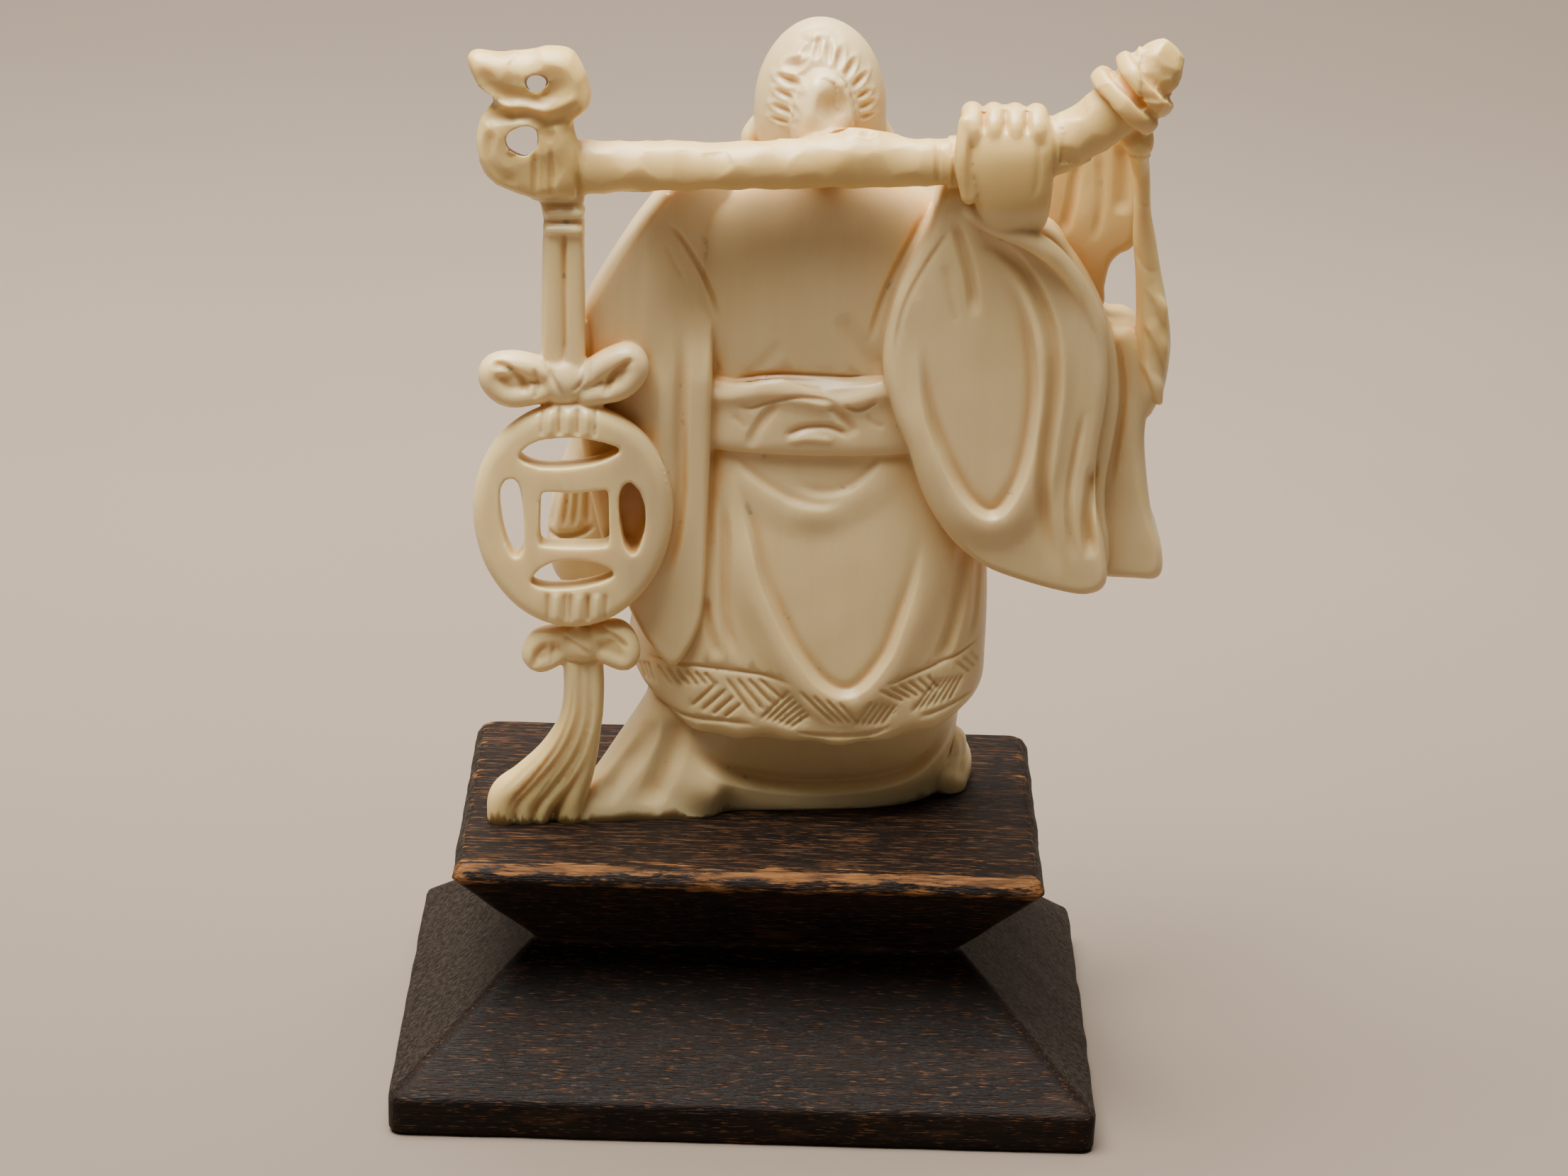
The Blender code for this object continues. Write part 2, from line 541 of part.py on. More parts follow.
def nearest_on(line, points):
    """Distance of each point to the line, signed by its side of it, and how far along the line, 0 to 1."""
    best = np.full(len(points), 1e9)
    side = np.ones(len(points))
    along = np.zeros(len(points))
    lengths = np.linalg.norm(np.diff(line, axis=0), axis=1)
    starts = np.concatenate([[0], np.cumsum(lengths)])
    for i, length in enumerate(lengths):
        step = line[i + 1] - line[i]
        share = np.clip((points - line[i]) @ step / length**2, 0, 1)
        gap = points - line[i] - share[:, None] * step
        distance = np.linalg.norm(gap, axis=1)
        closer = distance < best
        turn = step[0] * gap[:, 1] - step[1] * gap[:, 0]
        best = np.where(closer, distance, best)
        side = np.where(closer, np.where(turn >= 0, 1.0, -1.0), side)
        along = np.where(closer, (starts[i] + share * length) / starts[-1], along)
    return best * side, along


def smooth_step(values):
    values = np.clip(values, 0, 1)
    return values * values * (3 - 2 * values)


# Each cut is (kind, half width, depth, points). Seen from behind, its points are x and z. A groove sinks, a
# ridge is a groove of negative depth, and a lap lifts the cloth on the line's left, dying away over LAP_REACH
# widths. Every cut fades out over a share of its length at either end.
LAP_REACH = 4.5
CUT_FADE = 0.12
BACK_CUTS = [
    ("groove", 0.6, 0.45, [(-8.4, 75.6), (-6.9, 72.6), (-5.2, 69.3), (-3.8, 67)]),
    ("groove", 0.6, 0.4, [(13.2, 77), (10.9, 73), (9.5, 69.2), (8.7, 65.6)]),
    ("groove", 0.9, 0.6, [(6.1, 69.2), (7.6, 66.6), (9.8, 63.3)]),
    ("lap", 0.8, 0.6, [(10.9, 56), (9.3, 54.1), (7.4, 52.4), (4.8, 51.6), (2.1, 52.5), (-0.5, 54),
                       (-2.7, 55.6)]),
    ("groove", 0.7, 0.45, [(-1.8, 56.6), (-0.6, 59.2), (1.7, 60.8), (4.5, 61.2), (7.2, 60.8), (9.2, 59),
                           (10, 57)]),
    ("groove", 0.8, -0.45, [(2, 57.4), (3, 58.2), (4.4, 58.6), (5.9, 58.5), (7.1, 57.6)]),
    ("lap", 0.9, 0.8, [(15.5, 49.5), (15, 45.5), (14.1, 41.2), (12.6, 37.6), (10, 35.4), (7.3, 35.4),
                       (4.6, 37.4), (1.8, 40.8), (-0.3, 45), (-1.4, 49.2), (-2.3, 54)]),
    ("groove", 0.9, 0.5, [(-2.8, 52), (-2.7, 47.8), (-1.6, 43.5), (0.8, 39.7)]),
    ("groove", 1.0, 0.6, [(17.4, 49), (17.2, 43.6), (16.4, 39.6), (15.2, 37)]),
    ("groove", 0.45, 0.35, [(-10.4, 37), (-6.8, 36.6), (-1.4, 36.8), (2, 36.2)]),
    ("groove", 0.45, 0.35, [(11.6, 35.6), (15, 36.7), (19.3, 38.3)]),
    ("groove", 0.9, 0.6, [(-6.9, 66.4), (-6.4, 61.6), (-6.4, 54.6), (-7.2, 49), (-8.3, 44.6)]),
    ("groove", 0.6, 0.35, [(-5.2, 65.8), (-4.6, 60.2), (-4.5, 53.3), (-5.1, 47.4)]),
    ("groove", 0.8, 0.7, [(15.1, 77.8), (16.2, 74.6), (17.4, 71.2), (17.8, 68.6)]),
    ("groove", 0.7, 0.3, [(14.7, 73.4), (15.5, 70.8), (16.5, 68)]),
    ("groove", 0.9, 0.8, [(16.2, 75.9), (19.6, 74.6), (21.9, 72.9), (23.5, 70.4), (24.4, 67.2), (24.6, 64),
                          (24.2, 60), (23.7, 55.6), (23.9, 52), (24.6, 49), (25.4, 46.4)]),
    ("lap", 0.9, 0.8, [(18.7, 73.4), (21.2, 71), (22.6, 67.8), (23.1, 63.6), (22.9, 59.4), (22, 55.4),
                       (20.5, 52.8), (19.1, 52.2), (17.4, 53.4), (15.6, 56.3), (13.9, 60.4), (13.1, 64.6),
                       (13, 68)]),
    ("groove", 0.75, 1.2, [(27.7, 56.6), (27.5, 53.3), (27.3, 51), (27.9, 48.6)]),
    ("lap", 1.1, 1.1, [(18.2, 30.6), (17.2, 29.2), (14.6, 26.2), (10.2, 24.8), (4.4, 24.6), (-0.8, 25.6),
                       (-4, 27.6), (-5.6, 30)]),
    ("groove", 0.9, 0.7, [(-8.4, 30.6), (-9.2, 28), (-11, 24.4)]),
]
# The front is plainer: a collar, the hem, and a few long folds in the robe and the sleeves.
FRONT_CUTS = [
    ("groove", 0.7, 0.5, [(-1.2, 79.4), (-2.3, 75.5), (-1.9, 71), (-0.4, 66.4)]),
    ("groove", 0.7, 0.5, [(9.4, 79.4), (10.3, 75.5), (9.4, 70.5), (7, 65), (5.6, 62.2)]),
    ("groove", 0.45, 0.35, [(-9.6, 36.8), (-3, 35.4), (5, 34.8), (12, 35.4), (19, 37.4)]),
    ("groove", 1.0, 0.6, [(4.4, 55.8), (3.8, 48), (4, 41), (3.4, 36)]),
    ("groove", 1.0, 0.6, [(-2.6, 54.6), (-4.2, 48), (-4.8, 41), (-4.4, 37)]),
    ("groove", 1.0, 0.6, [(11, 54.8), (12.4, 48), (12.8, 41), (12.2, 37)]),
    ("groove", 1.0, 0.6, [(-9.4, 66), (-10.6, 60), (-12.6, 54), (-15, 48)]),
    ("groove", 0.8, 0.5, [(-6, 58.6), (-7.4, 54), (-9.4, 48)]),
    ("groove", 1.0, 0.6, [(23.6, 71), (22.8, 64), (23.8, 57), (26.4, 50)]),
    ("groove", 1.0, 0.6, [(28.4, 67), (28.2, 60), (29.4, 53), (31.2, 48)]),
]


def cut_folds(mesh, cuts, facing):
    """Sinks or lifts the skin where a cut passes over it. facing is -1 for the back and 1 for the front."""
    count = len(mesh.vertices)
    points, normals = np.empty(count * 3), np.empty(count * 3)
    mesh.vertices.foreach_get("co", points)
    mesh.vertices.foreach_get("normal", normals)
    points, normals = points.reshape(-1, 3), normals.reshape(-1, 3)
    looks = smooth_step((facing * normals[:, 1] - 0.2) / 0.5)
    for kind, width, depth, line in cuts:
        curve = curve_through([(x, 0.0, z) for x, z in line])[:, [0, 2]]
        reach = width * (LAP_REACH if kind == "lap" else 1)
        low, high = curve.min(0) - reach, curve.max(0) + reach
        flat = points[:, [0, 2]]
        near = np.flatnonzero(((flat > low) & (flat < high)).all(1) & (looks > 0))
        distance, along = nearest_on(curve, flat[near])
        ends = smooth_step(np.minimum(along, 1 - along) / CUT_FADE)
        if kind == "lap":
            across = distance / width
            rise = smooth_step(across + 0.5) * smooth_step((LAP_REACH - across) / (LAP_REACH - 1))
            shape = rise - 0.35 * np.exp(-3 * (across + 0.6) ** 2)
        else:
            shape = -np.clip(1 - (distance / width) ** 2, 0, 1) ** 2
        points[near, 1] += facing * shape * depth * ends * looks[near]
    mesh.vertices.foreach_set("co", points.ravel())
    mesh.update()


def stand_flat(mesh, floor):
    """Cuts the fused skin off at the floor, gives it its real height and stands it over the plinth, in metres."""
    solid = bmesh.new()
    solid.from_mesh(mesh)
    everything = solid.verts[:] + solid.edges[:] + solid.faces[:]
    level = Vector((0, 0, floor))
    bmesh.ops.bisect_plane(solid, geom=everything, plane_co=level, plane_no=(0, 0, -1), clear_outer=True)
    rim = [edge for edge in solid.edges if edge.is_boundary]
    bmesh.ops.holes_fill(solid, edges=rim)
    scale = FIGURE_HEIGHT / (max(vertex.co.z for vertex in solid.verts) - floor)
    for vertex in solid.verts:
        drawn = (vertex.co - level) * scale
        vertex.co = (drawn + Vector((0, 0, PLINTH_HEIGHT + REST_GAP))) * MM
    bmesh.ops.recalc_face_normals(solid, faces=solid.faces)
    solid.to_mesh(mesh)
    solid.free()


def figure():
    ground = under_robe()
    forms = [ground, robe(), sash()]
    forms += left_sleeve() + right_sleeve() + shoes() + head() + raised_hand() + lowered_hand()
    forms += staff() + root_head() + cord_bindings() + bows() + coin() + tassel() + hanging_cloth()
    mesh = fused(joined("forms", forms))
    cut_folds(mesh, BACK_CUTS, facing=-1)
    cut_folds(mesh, FRONT_CUTS, facing=1)
    stand_flat(mesh, ground[0][:, 2].min() + GROUND_TRIM)
    mesh.materials.clear()
    mesh.materials.append(plain_material("ivory", IVORY, 0.3))
    carving = bpy.data.objects.new("figure", mesh)
    bpy.context.scene.collection.objects.link(carving)
    thin = carving.modifiers.new("fewer faces", "DECIMATE")
    triangles = sum(len(face.vertices) - 2 for face in mesh.polygons)
    thin.ratio = min(1.0, FIGURE_TRIANGLES / triangles)
    return carving


# The plinth


def plinth():
    levels = [
        (0.0, 0.0), (FOOT_BAND, 0.0), (FOOT_BAND + FOOT_SLOPE_HEIGHT, WAIST_INSET),
        (PLINTH_HEIGHT - SLAB_BEVEL_HEIGHT, RIM_INSET), (PLINTH_HEIGHT, RIM_INSET + SLAB_BEVEL),
    ]
    solid = bmesh.new()
    rings = []
    for height, inset in levels:
        x, y = 0.5 * FOOT_WIDTH - inset, 0.5 * FOOT_DEPTH - inset
        corners = [(-x, -y), (x, -y), (x, y), (-x, y)]
        rings.append([solid.verts.new(Vector((a, b, height)) * MM) for a, b in corners])
    solid.faces.new(reversed(rings[0]))
    solid.faces.new(rings[-1])
    for below, above in zip(rings[:-1], rings[1:]):
        for i in range(4):
            k = (i + 1) % 4
            solid.faces.new((below[i], below[k], above[k], above[i]))
    mesh = bpy.data.meshes.new("plinth")
    solid.to_mesh(mesh)
    solid.free()
    mesh.materials.append(plain_material("ebonised wood", EBONISED_WOOD, 0.5))
    block = bpy.data.objects.new("plinth", mesh)
    bpy.context.scene.collection.objects.link(block)
    worn = block.modifiers.new("worn edges", "BEVEL")
    worn.width = EDGE_WEAR * MM
    worn.segments = 2
    worn.limit_method = "ANGLE"
    worn.angle_limit = math.radians(15)
    mesh.shade_smooth()
    mesh.set_sharp_from_angle(angle=math.radians(35))
    return block


clear_scene()
plinth()
figure()
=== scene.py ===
"""The looks of the ivory figure on its plinth: finely carved ivory, worn black wood and soft studio light.

Lengths are in millimetres until a mesh is finished, then in metres. The carved back faces -Y.
"""

import math

import bmesh
import bpy
import numpy as np
from mathutils import Matrix, Vector
from mathutils.bvhtree import BVHTree
from mathutils.kdtree import KDTree


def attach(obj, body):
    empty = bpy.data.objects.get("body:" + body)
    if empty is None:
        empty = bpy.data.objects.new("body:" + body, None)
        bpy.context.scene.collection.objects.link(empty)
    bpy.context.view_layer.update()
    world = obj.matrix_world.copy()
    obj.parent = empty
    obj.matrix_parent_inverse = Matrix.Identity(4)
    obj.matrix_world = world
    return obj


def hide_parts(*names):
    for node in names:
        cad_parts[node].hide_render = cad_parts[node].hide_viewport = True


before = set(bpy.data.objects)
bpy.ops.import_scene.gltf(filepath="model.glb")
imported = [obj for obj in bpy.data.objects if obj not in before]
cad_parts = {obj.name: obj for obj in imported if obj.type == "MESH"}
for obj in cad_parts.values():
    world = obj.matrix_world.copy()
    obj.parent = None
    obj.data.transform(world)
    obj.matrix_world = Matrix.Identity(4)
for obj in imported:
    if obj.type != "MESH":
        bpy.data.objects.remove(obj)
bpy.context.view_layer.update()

MM = 0.001

# The plinth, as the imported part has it.
FOOT_WIDTH = 60.0
FOOT_DEPTH = 44.0
FOOT_BAND = 3.5
FOOT_SLOPE_HEIGHT = 9.8
FLARE_HEIGHT = 8.1
SLAB_BEVEL_HEIGHT = 1.3
WAIST_INSET = 11.7
RIM_INSET = 4.9
SLAB_BEVEL = 0.8
PLINTH_HEIGHT = FOOT_BAND + FOOT_SLOPE_HEIGHT + FLARE_HEIGHT + SLAB_BEVEL_HEIGHT

# The visible figure reaches down to the wood.
FIGURE_FLOOR = PLINTH_HEIGHT + 0.03
HEM_LEVEL = 30.4
HEM_RISE = 5.0
HEM_RISE_TOP = 40.0
# The waves of the hem, as height, turn for each mm of width, and start.
HEM_WAVES = ((0.25, 0.55, 0.6), (0.16, 1.5, 0.0))

# How finely the forms are built: the step along curves, the fewest sides of a tube and of a ball, and the
# steps of a rounded end, of a cloth's edge, round a band and round a level of the under robe.
SPACING = 0.4
TUBE_SIDES = 14
BALL_SIDES = 18
CAP_STEPS = 7
EDGE_STEPS = 7
BAND_STEPS = 24
LEVEL_STEPS = 200
# The ring that closes a form is this share of a full one, so that every face there has some width.
LAST_RING = 0.02

FUSE_GRID = 0.16
FUSE_PASSES = 6
FIGURE_TRIANGLES = 196000


# Curves and forms


def unit(vectors):
    return vectors / np.maximum(np.linalg.norm(vectors, axis=-1, keepdims=True), 1e-9)


def smooth_step(values):
    """0 up to 0, 1 from 1 on, and a smooth rise between them."""
    values = np.clip(values, 0, 1)
    return values * values * (3 - 2 * values)


def spline_between(a, b, c, d, steps):
    """Points on a smooth curve from b towards c, where a comes before b and d after c."""
    t = np.arange(steps)[:, None] / steps
    return b + 0.5 * t * (c - a + t * (2 * a - 5 * b + 4 * c - d + t * (3 * (b - c) + d - a)))


def curve_through(points, closed=False, spacing=SPACING):
    """A smooth curve through the points, sampled about every spacing. Any further columns ride along."""
    points = np.asarray(points, float)
    if closed:
        padded = np.vstack([points[-1], points, points[0], points[1]])
    else:
        padded = np.vstack([2 * points[0] - points[1], points, 2 * points[-1] - points[-2]])
    rows = []
    for a, b, c, d in zip(padded[:-3], padded[1:-2], padded[2:-1], padded[3:]):
        steps = max(2, math.ceil(np.linalg.norm((c - b)[:3]) / spacing))
        rows.append(spline_between(a, b, c, d, steps))
    if not closed:
        rows.append(points[-1:])
    return np.vstack(rows)


def rounded_angle(count, power):
    """Cosine and sine round a section that goes from round, power 2, towards square as power grows."""
    angle = np.arange(count) * 2 * math.pi / count
    cos, sin = np.cos(angle), np.sin(angle)
    share = 2.0 / power
    return np.sign(cos) * np.abs(cos) ** share, np.sign(sin) * np.abs(sin) ** share


def skin(rings, closed=False):
    """Vertices and faces of a tube through equally long rings, with a face over each open end."""
    count, around = rings.shape[:2]
    faces = []
    for i in range(count if closed else count - 1):
        here, after = i * around, ((i + 1) % count) * around
        for j in range(around):
            k = (j + 1) % around
            faces.append((here + j, here + k, after + k, after + j))
    if not closed:
        faces.append(tuple(reversed(range(around))))
        faces.append(tuple((count - 1) * around + j for j in range(around)))
    return rings.reshape(-1, 3), faces


def limb(stations, power=2.0, reference=(0, 1, 0), closed=False):
    """A tube. Its stations are x, y, z, half width across the reference direction and half depth along it."""
    rows = curve_through(stations, closed)
    centres = rows[:, :3]
    if closed:
        tangents = np.roll(centres, -1, axis=0) - np.roll(centres, 1, axis=0)
    else:
        tangents = np.gradient(centres, axis=0)
    tangents = unit(tangents)
    side = unit(np.cross(np.array(reference, float), tangents))
    lift = unit(np.cross(tangents, side))
    around = max(TUBE_SIDES, math.ceil(2 * math.pi * rows[:, 3:].max() / SPACING))
    cos, sin = rounded_angle(around, power)
    width, depth = rows[:, 3, None, None], rows[:, 4, None, None]
    spokes = side[:, None] * width * cos[None, :, None] + lift[:, None] * depth * sin[None, :, None]
    rings = centres[:, None] + spokes
    if closed:
        return skin(rings, closed=True)
    caps = []
    for end, outward in ((0, -1), (-1, 1)):
        bulge = outward * min(rows[end, 3:]) * tangents[end]
        turns = np.linspace(0, 0.5 * math.pi, CAP_STEPS)[1:]
        cap = [centres[end] + math.sin(a) * bulge + spokes[end] * max(math.cos(a), LAST_RING) for a in turns]
        caps.append(np.array(cap))
    return skin(np.concatenate([caps[0][::-1], rings, caps[1]]))


def ring_band(centre, axis, radius, half_width, half_thickness):
    """A band that goes round a stick: a turned ring with a rounded section."""
    axis = unit(np.array(axis, float))
    first = unit(np.cross(axis, (0, 1, 0)))
    second = np.cross(axis, first)
    angle = np.arange(BAND_STEPS) * 2 * math.pi / BAND_STEPS
    path = np.array(centre) + radius * (np.cos(angle)[:, None] * first + np.sin(angle)[:, None] * second)
    stations = np.column_stack([path, np.full(BAND_STEPS, half_thickness), np.full(BAND_STEPS, half_width)])
    return limb(stations, reference=axis, closed=True, power=2.6)


def ellipsoid(centre, radii):
    rings = []
    around = max(BALL_SIDES, math.ceil(2 * math.pi * max(radii) / SPACING))
    cos, sin = rounded_angle(around, 2.0)
    for tilt in np.linspace(-0.5 * math.pi, 0.5 * math.pi, around // 2 + 2):
        flat = max(math.cos(tilt), LAST_RING)
        level = np.full(around, radii[2] * math.sin(tilt))
        ring = np.column_stack([radii[0] * flat * cos, radii[1] * flat * sin, level])
        rings.append(ring + np.array(centre))
    return skin(np.array(rings))


def pillow(outline, centre, back, front, rounding=1.2, crown=0.0):
    """A flat piece of cloth, from the depth back to the depth front, with rounded edges.

    Seen from behind it is a smooth closed outline of (x, z) points round a centre that sees all of it. Its
    faces are swollen by crown.
    """
    flat = np.array([(x, 0.0, z) for x, z in outline])
    rim = curve_through(flat, closed=True)
    if np.cross(rim[:, [0, 2]], np.roll(rim[:, [0, 2]], -1, axis=0)).sum() < 0:
        rim = rim[::-1]
    middle = np.array([centre[0], 0.0, centre[1]])
    reach = np.linalg.norm(rim - middle, axis=1)[:, None]
    half = 0.5 * (front - back)
    rounding = min(rounding, half)
    edge_shares = [rounding * (1 - math.sin(a)) / reach for a in np.linspace(0.5 * math.pi, 0, EDGE_STEPS)]
    steps = math.ceil(reach.max() / SPACING)
    last = edge_shares[-1]
    shares = edge_shares + [last + (1 - LAST_RING - last) * step / steps for step in range(1, steps + 1)]
    sides = {}
    for sign in (-1, 1):
        sides[sign] = []
        for share in shares:
            edge = 1 - np.clip(share * reach / rounding, 0, 1)
            swell = crown * np.sin(0.5 * math.pi * share)
            depth = 0.5 * (back + front) + sign * (half - rounding + rounding * np.sqrt(1 - edge**2) + swell)
            ring = rim + (middle - rim) * share
            ring[:, 1] = depth[:, 0]
            sides[sign].append(ring)
    return skin(np.array(sides[-1][::-1] + sides[1]))


def loft(levels, power=2.6):
    """A standing form. Its levels are height, middle x, half width, depth of its back and of its front."""
    levels = np.asarray(levels, float)
    keyed = np.column_stack([np.zeros((len(levels), 2)), levels])
    rows = curve_through(keyed)[:, 2:]
    around = math.ceil(2 * math.pi * levels[:, 2].max() / SPACING)
    cos, sin = rounded_angle(around, power)
    rings = []
    for height, middle, half_width, back, front in rows:
        x = middle + half_width * cos
        y = 0.5 * (back + front) + 0.5 * (front - back) * sin
        rings.append(np.column_stack([x, y, np.full(around, height)]))
    return skin(np.array(rings))


def curve_at_even_steps(points):
    """A closed curve through the points, with the same number of steps between each pair."""
    points = np.asarray(points, float)
    steps = LEVEL_STEPS // len(points)
    rows = []
    for i in range(len(points)):
        a, b, c, d = (points[(i + k) % len(points)] for k in (-1, 0, 1, 2))
        rows.append(spline_between(a, b, c, d, steps))
    return np.vstack(rows)


def skirt(levels):
    """A standing form through outlines of (x, y) points at rising heights, all with as many points."""
    heights = np.array([height for height, _ in levels])
    outlines = [curve_at_even_steps(points) for _, points in levels]
    rings = []
    for height in np.arange(heights[0], heights[-1] + 0.5 * SPACING, SPACING):
        at = np.searchsorted(heights, height, side="right") - 1
        at = min(at, len(heights) - 2)
        share = (height - heights[at]) / (heights[at + 1] - heights[at])
        mixed = outlines[at] * (1 - share) + outlines[at + 1] * share
        rings.append(np.column_stack([mixed, np.full(len(mixed), height)]))
    return skin(np.array(rings))


# The garments, from the ground up


def under_robe():
    return skirt([
        (21.0, [(-16, -6.3), (-9, -5.9), (-3.8, -4.8), (-1.3, -2.6), (6, -1.5), (13.3, -0.1),
                (17, 3.6), (16.6, 8.6), (8, 11.2), (-3, 10.8), (-10, 7.2), (-14.8, 0)]),
        (24.0, [(-15, -6), (-9, -5.6), (-3.8, -4.6), (-1.3, -2.5), (6, -1.3), (13.3, 0.1),
                (17, 3.6), (16.6, 8.6), (8, 11), (-3, 10.6), (-10, 7), (-14.2, 0)]),
        (28.0, [(-11.6, -4.2), (-7.6, -4.6), (-3.4, -4.2), (0, -2.8), (6, -2.2), (13, -1.6),
                (17.4, 2), (16.8, 7.6), (8.5, 9.6), (-2, 9.4), (-8.5, 6.4), (-11.9, 0)]),
        (32.0, [(-8.4, -3.4), (-5, -3.8), (-1.5, -3.8), (1.5, -3.6), (7, -3.4), (13, -3),
                (17.6, 0.8), (17, 6.6), (9, 8.8), (-1, 8.6), (-7, 6.2), (-9.4, 0.6)]),
        (35.0, [(-7.6, -3), (-4.6, -3.6), (-1, -3.8), (2, -3.8), (7, -3.6), (13, -3.2),
                (17.5, 0), (17, 6), (9, 8), (0, 8), (-5.6, 6), (-8.4, 1)]),
    ])


def robe():
    points, faces = loft([
        (HEM_LEVEL, 4.5, 14.6, -5.7, 8.8), (HEM_LEVEL + 1.2, 4.5, 15.3, -6.4, 9.3),
        (36, 4.5, 15.4, -6.5, 9.5),
        (45, 4.8, 14.9, -6.1, 9.5), (52, 4.6, 13.4, -5.4, 9.2), (57, 4.2, 11.8, -5.0, 8.8),
        (62, 4.0, 11.6, -4.9, 8.4), (68, 3.9, 12.4, -5.2, 7.8), (74, 3.9, 12.4, -5.0, 6.8),
        (77.5, 3.9, 10.8, -4.5, 5.8), (79.6, 4.0, 7.5, -3.8, 5.2), (81.5, 4.1, 4.2, -2.8, 4.8),
    ])
    # The hem sags in the middle, rises towards both sides and waves a little on its way.
    low = np.clip((HEM_RISE_TOP - points[:, 2]) / (HEM_RISE_TOP - HEM_LEVEL), 0, 1)
    rise = HEM_RISE * ((points[:, 0] - 5) / 15.7) ** 4
    for height, turn, start in HEM_WAVES:
        rise = rise + height * np.sin(turn * points[:, 0] + start)
    points[:, 2] += low * rise
    return points, faces


def left_sleeve():
    behind = pillow(
        [(-7.4, 79.5), (-8.9, 78.1), (-10.5, 76), (-12.1, 73.6), (-13.5, 71.2), (-14.9, 68.6), (-15.7, 65.4),
         (-15.6, 61), (-14.6, 54), (-12.8, 47), (-10.5, 41.6), (-8.8, 38.8), (-7, 37), (-5.8, 38.4),
         (-4.7, 41.2), (-4.4, 45), (-4.3, 52.7), (-4.2, 60), (-4.2, 67), (-3.6, 73), (-3.2, 79.6)],
        (-8.6, 58), -6.3, 0.5, 0.9, 0.25)
    # At the shoulder the sleeve runs into the back without an edge.
    points = behind[0]
    points[:, 1] += 2.7 * smooth_step((points[:, 2] - 62) / 8) * smooth_step((points[:, 0] + 10) / 6)
    ahead = pillow(
        [(-6.6, 75), (-9.6, 71), (-12.4, 66.8), (-14.8, 62.2), (-15.8, 58), (-16.4, 54), (-18, 48.6),
         (-17.6, 43.2), (-15, 41.2), (-11, 41.6), (-6, 43.5), (-3, 50), (-2.5, 60), (-3, 70)],
        (-9.5, 57), -0.6, 7.2, 1.8)
    return [behind, ahead]


def right_sleeve():
    behind = pillow(
        [(16.4, 80.4), (14.2, 80.2), (13.4, 77), (12, 73.6), (10.6, 70), (9.9, 65), (10.8, 61), (12.2, 57.5),
         (13.9, 53), (15.6, 50.3), (17.2, 48.6), (19.5, 47), (22.3, 46), (25.3, 45.2), (28, 44.9), (29.5, 46),
         (29.2, 49.4), (28.3, 53), (28.1, 57), (28.5, 60.5), (28.7, 63.6), (28.5, 66.4), (27.4, 69.9),
         (26.1, 72.2), (24.3, 74.2), (22.4, 75.9), (19.8, 77.2), (17.2, 78.3)],
        (19.6, 62), -7.2, -2.2, 1.1, 0.35)
    lining = pillow(
        [(14, 77), (12, 68), (13, 58), (17, 50), (21, 47.5), (26, 46.2), (29.4, 46.4), (29.7, 49), (29.2, 52),
         (29.2, 55), (29.6, 58.5), (29.9, 61.6), (29.6, 64.6), (29, 67.2), (27.6, 70.6), (25.4, 74),
         (22.6, 76.8)],
        (20.5, 62), -5.4, -0.8, 0.9)
    ahead = pillow(
        [(16, 76), (22.5, 73.4), (26.4, 70.4), (28.6, 67.7), (31, 67.2), (32.8, 64.6), (32.7, 61), (32.4, 58),
         (32.8, 54), (33.5, 50.4), (34.5, 47.4), (34.3, 45.2), (32, 45), (27, 45.3), (21, 46.6), (16, 50),
         (13, 57), (13, 68)],
        (23, 60), -3.4, 5.2, 1.4)
    rim = limb([(15.3, -5.8, 79.2, 0.5, 0.6), (16.7, -6.9, 78.3, 0.8, 0.9), (18.5, -7.7, 77.4, 0.85, 1.0),
                (20.9, -8.1, 76.6, 0.9, 1.0), (22.7, -7.9, 75.6, 0.9, 1.0), (24.5, -7.3, 73.9, 0.85, 0.95),
                (26.2, -6.8, 71.5, 0.8, 0.9), (27.5, -6.5, 68.7, 0.75, 0.85), (28.1, -6.3, 65.7, 0.55, 0.7)])
    return [behind, lining, ahead, rim]


def sash():
    points, faces = loft([
        (56.3, 4.1, 12.2, -5.6, 9.2), (57.3, 4.1, 12.3, -6.0, 9.4), (60.2, 4.0, 12.1, -6.0, 9.2),
        (61.6, 4.0, 12.2, -6.4, 9.3), (62.6, 4.0, 11.9, -5.8, 8.9),
    ])
    # Its upper edge rolls over in a slow wave.
    high = np.clip((points[:, 2] - 58) / 4.6, 0, 1)
    points[:, 2] += high * 0.6 * np.sin(0.62 * points[:, 0] + 1.0)
    return points, faces


def shoes():
    heel = limb([(17.4, 3.4, 23.4, 1.6, 1.9), (17.6, 5.5, 24.4, 1.9, 2.4), (16.8, 9.5, 24, 2.1, 2.2),
                 (16, 13, 23.6, 1.9, 1.7)], reference=(0, 0, 1))
    ankle = limb([(17.5, 4.6, 22.6, 1.5, 1.6), (17.6, 4.8, 26.8, 1.3, 1.4)])
    toe = limb([(-2, 7, 23.8, 2.2, 2.0), (-2.6, 11, 23.8, 2.2, 2.1), (-3, 13.4, 23.6, 1.8, 1.6)],
               reference=(0, 0, 1))
    return [heel, ankle, toe]


# The head and the hands


HEAD_X = 4.1


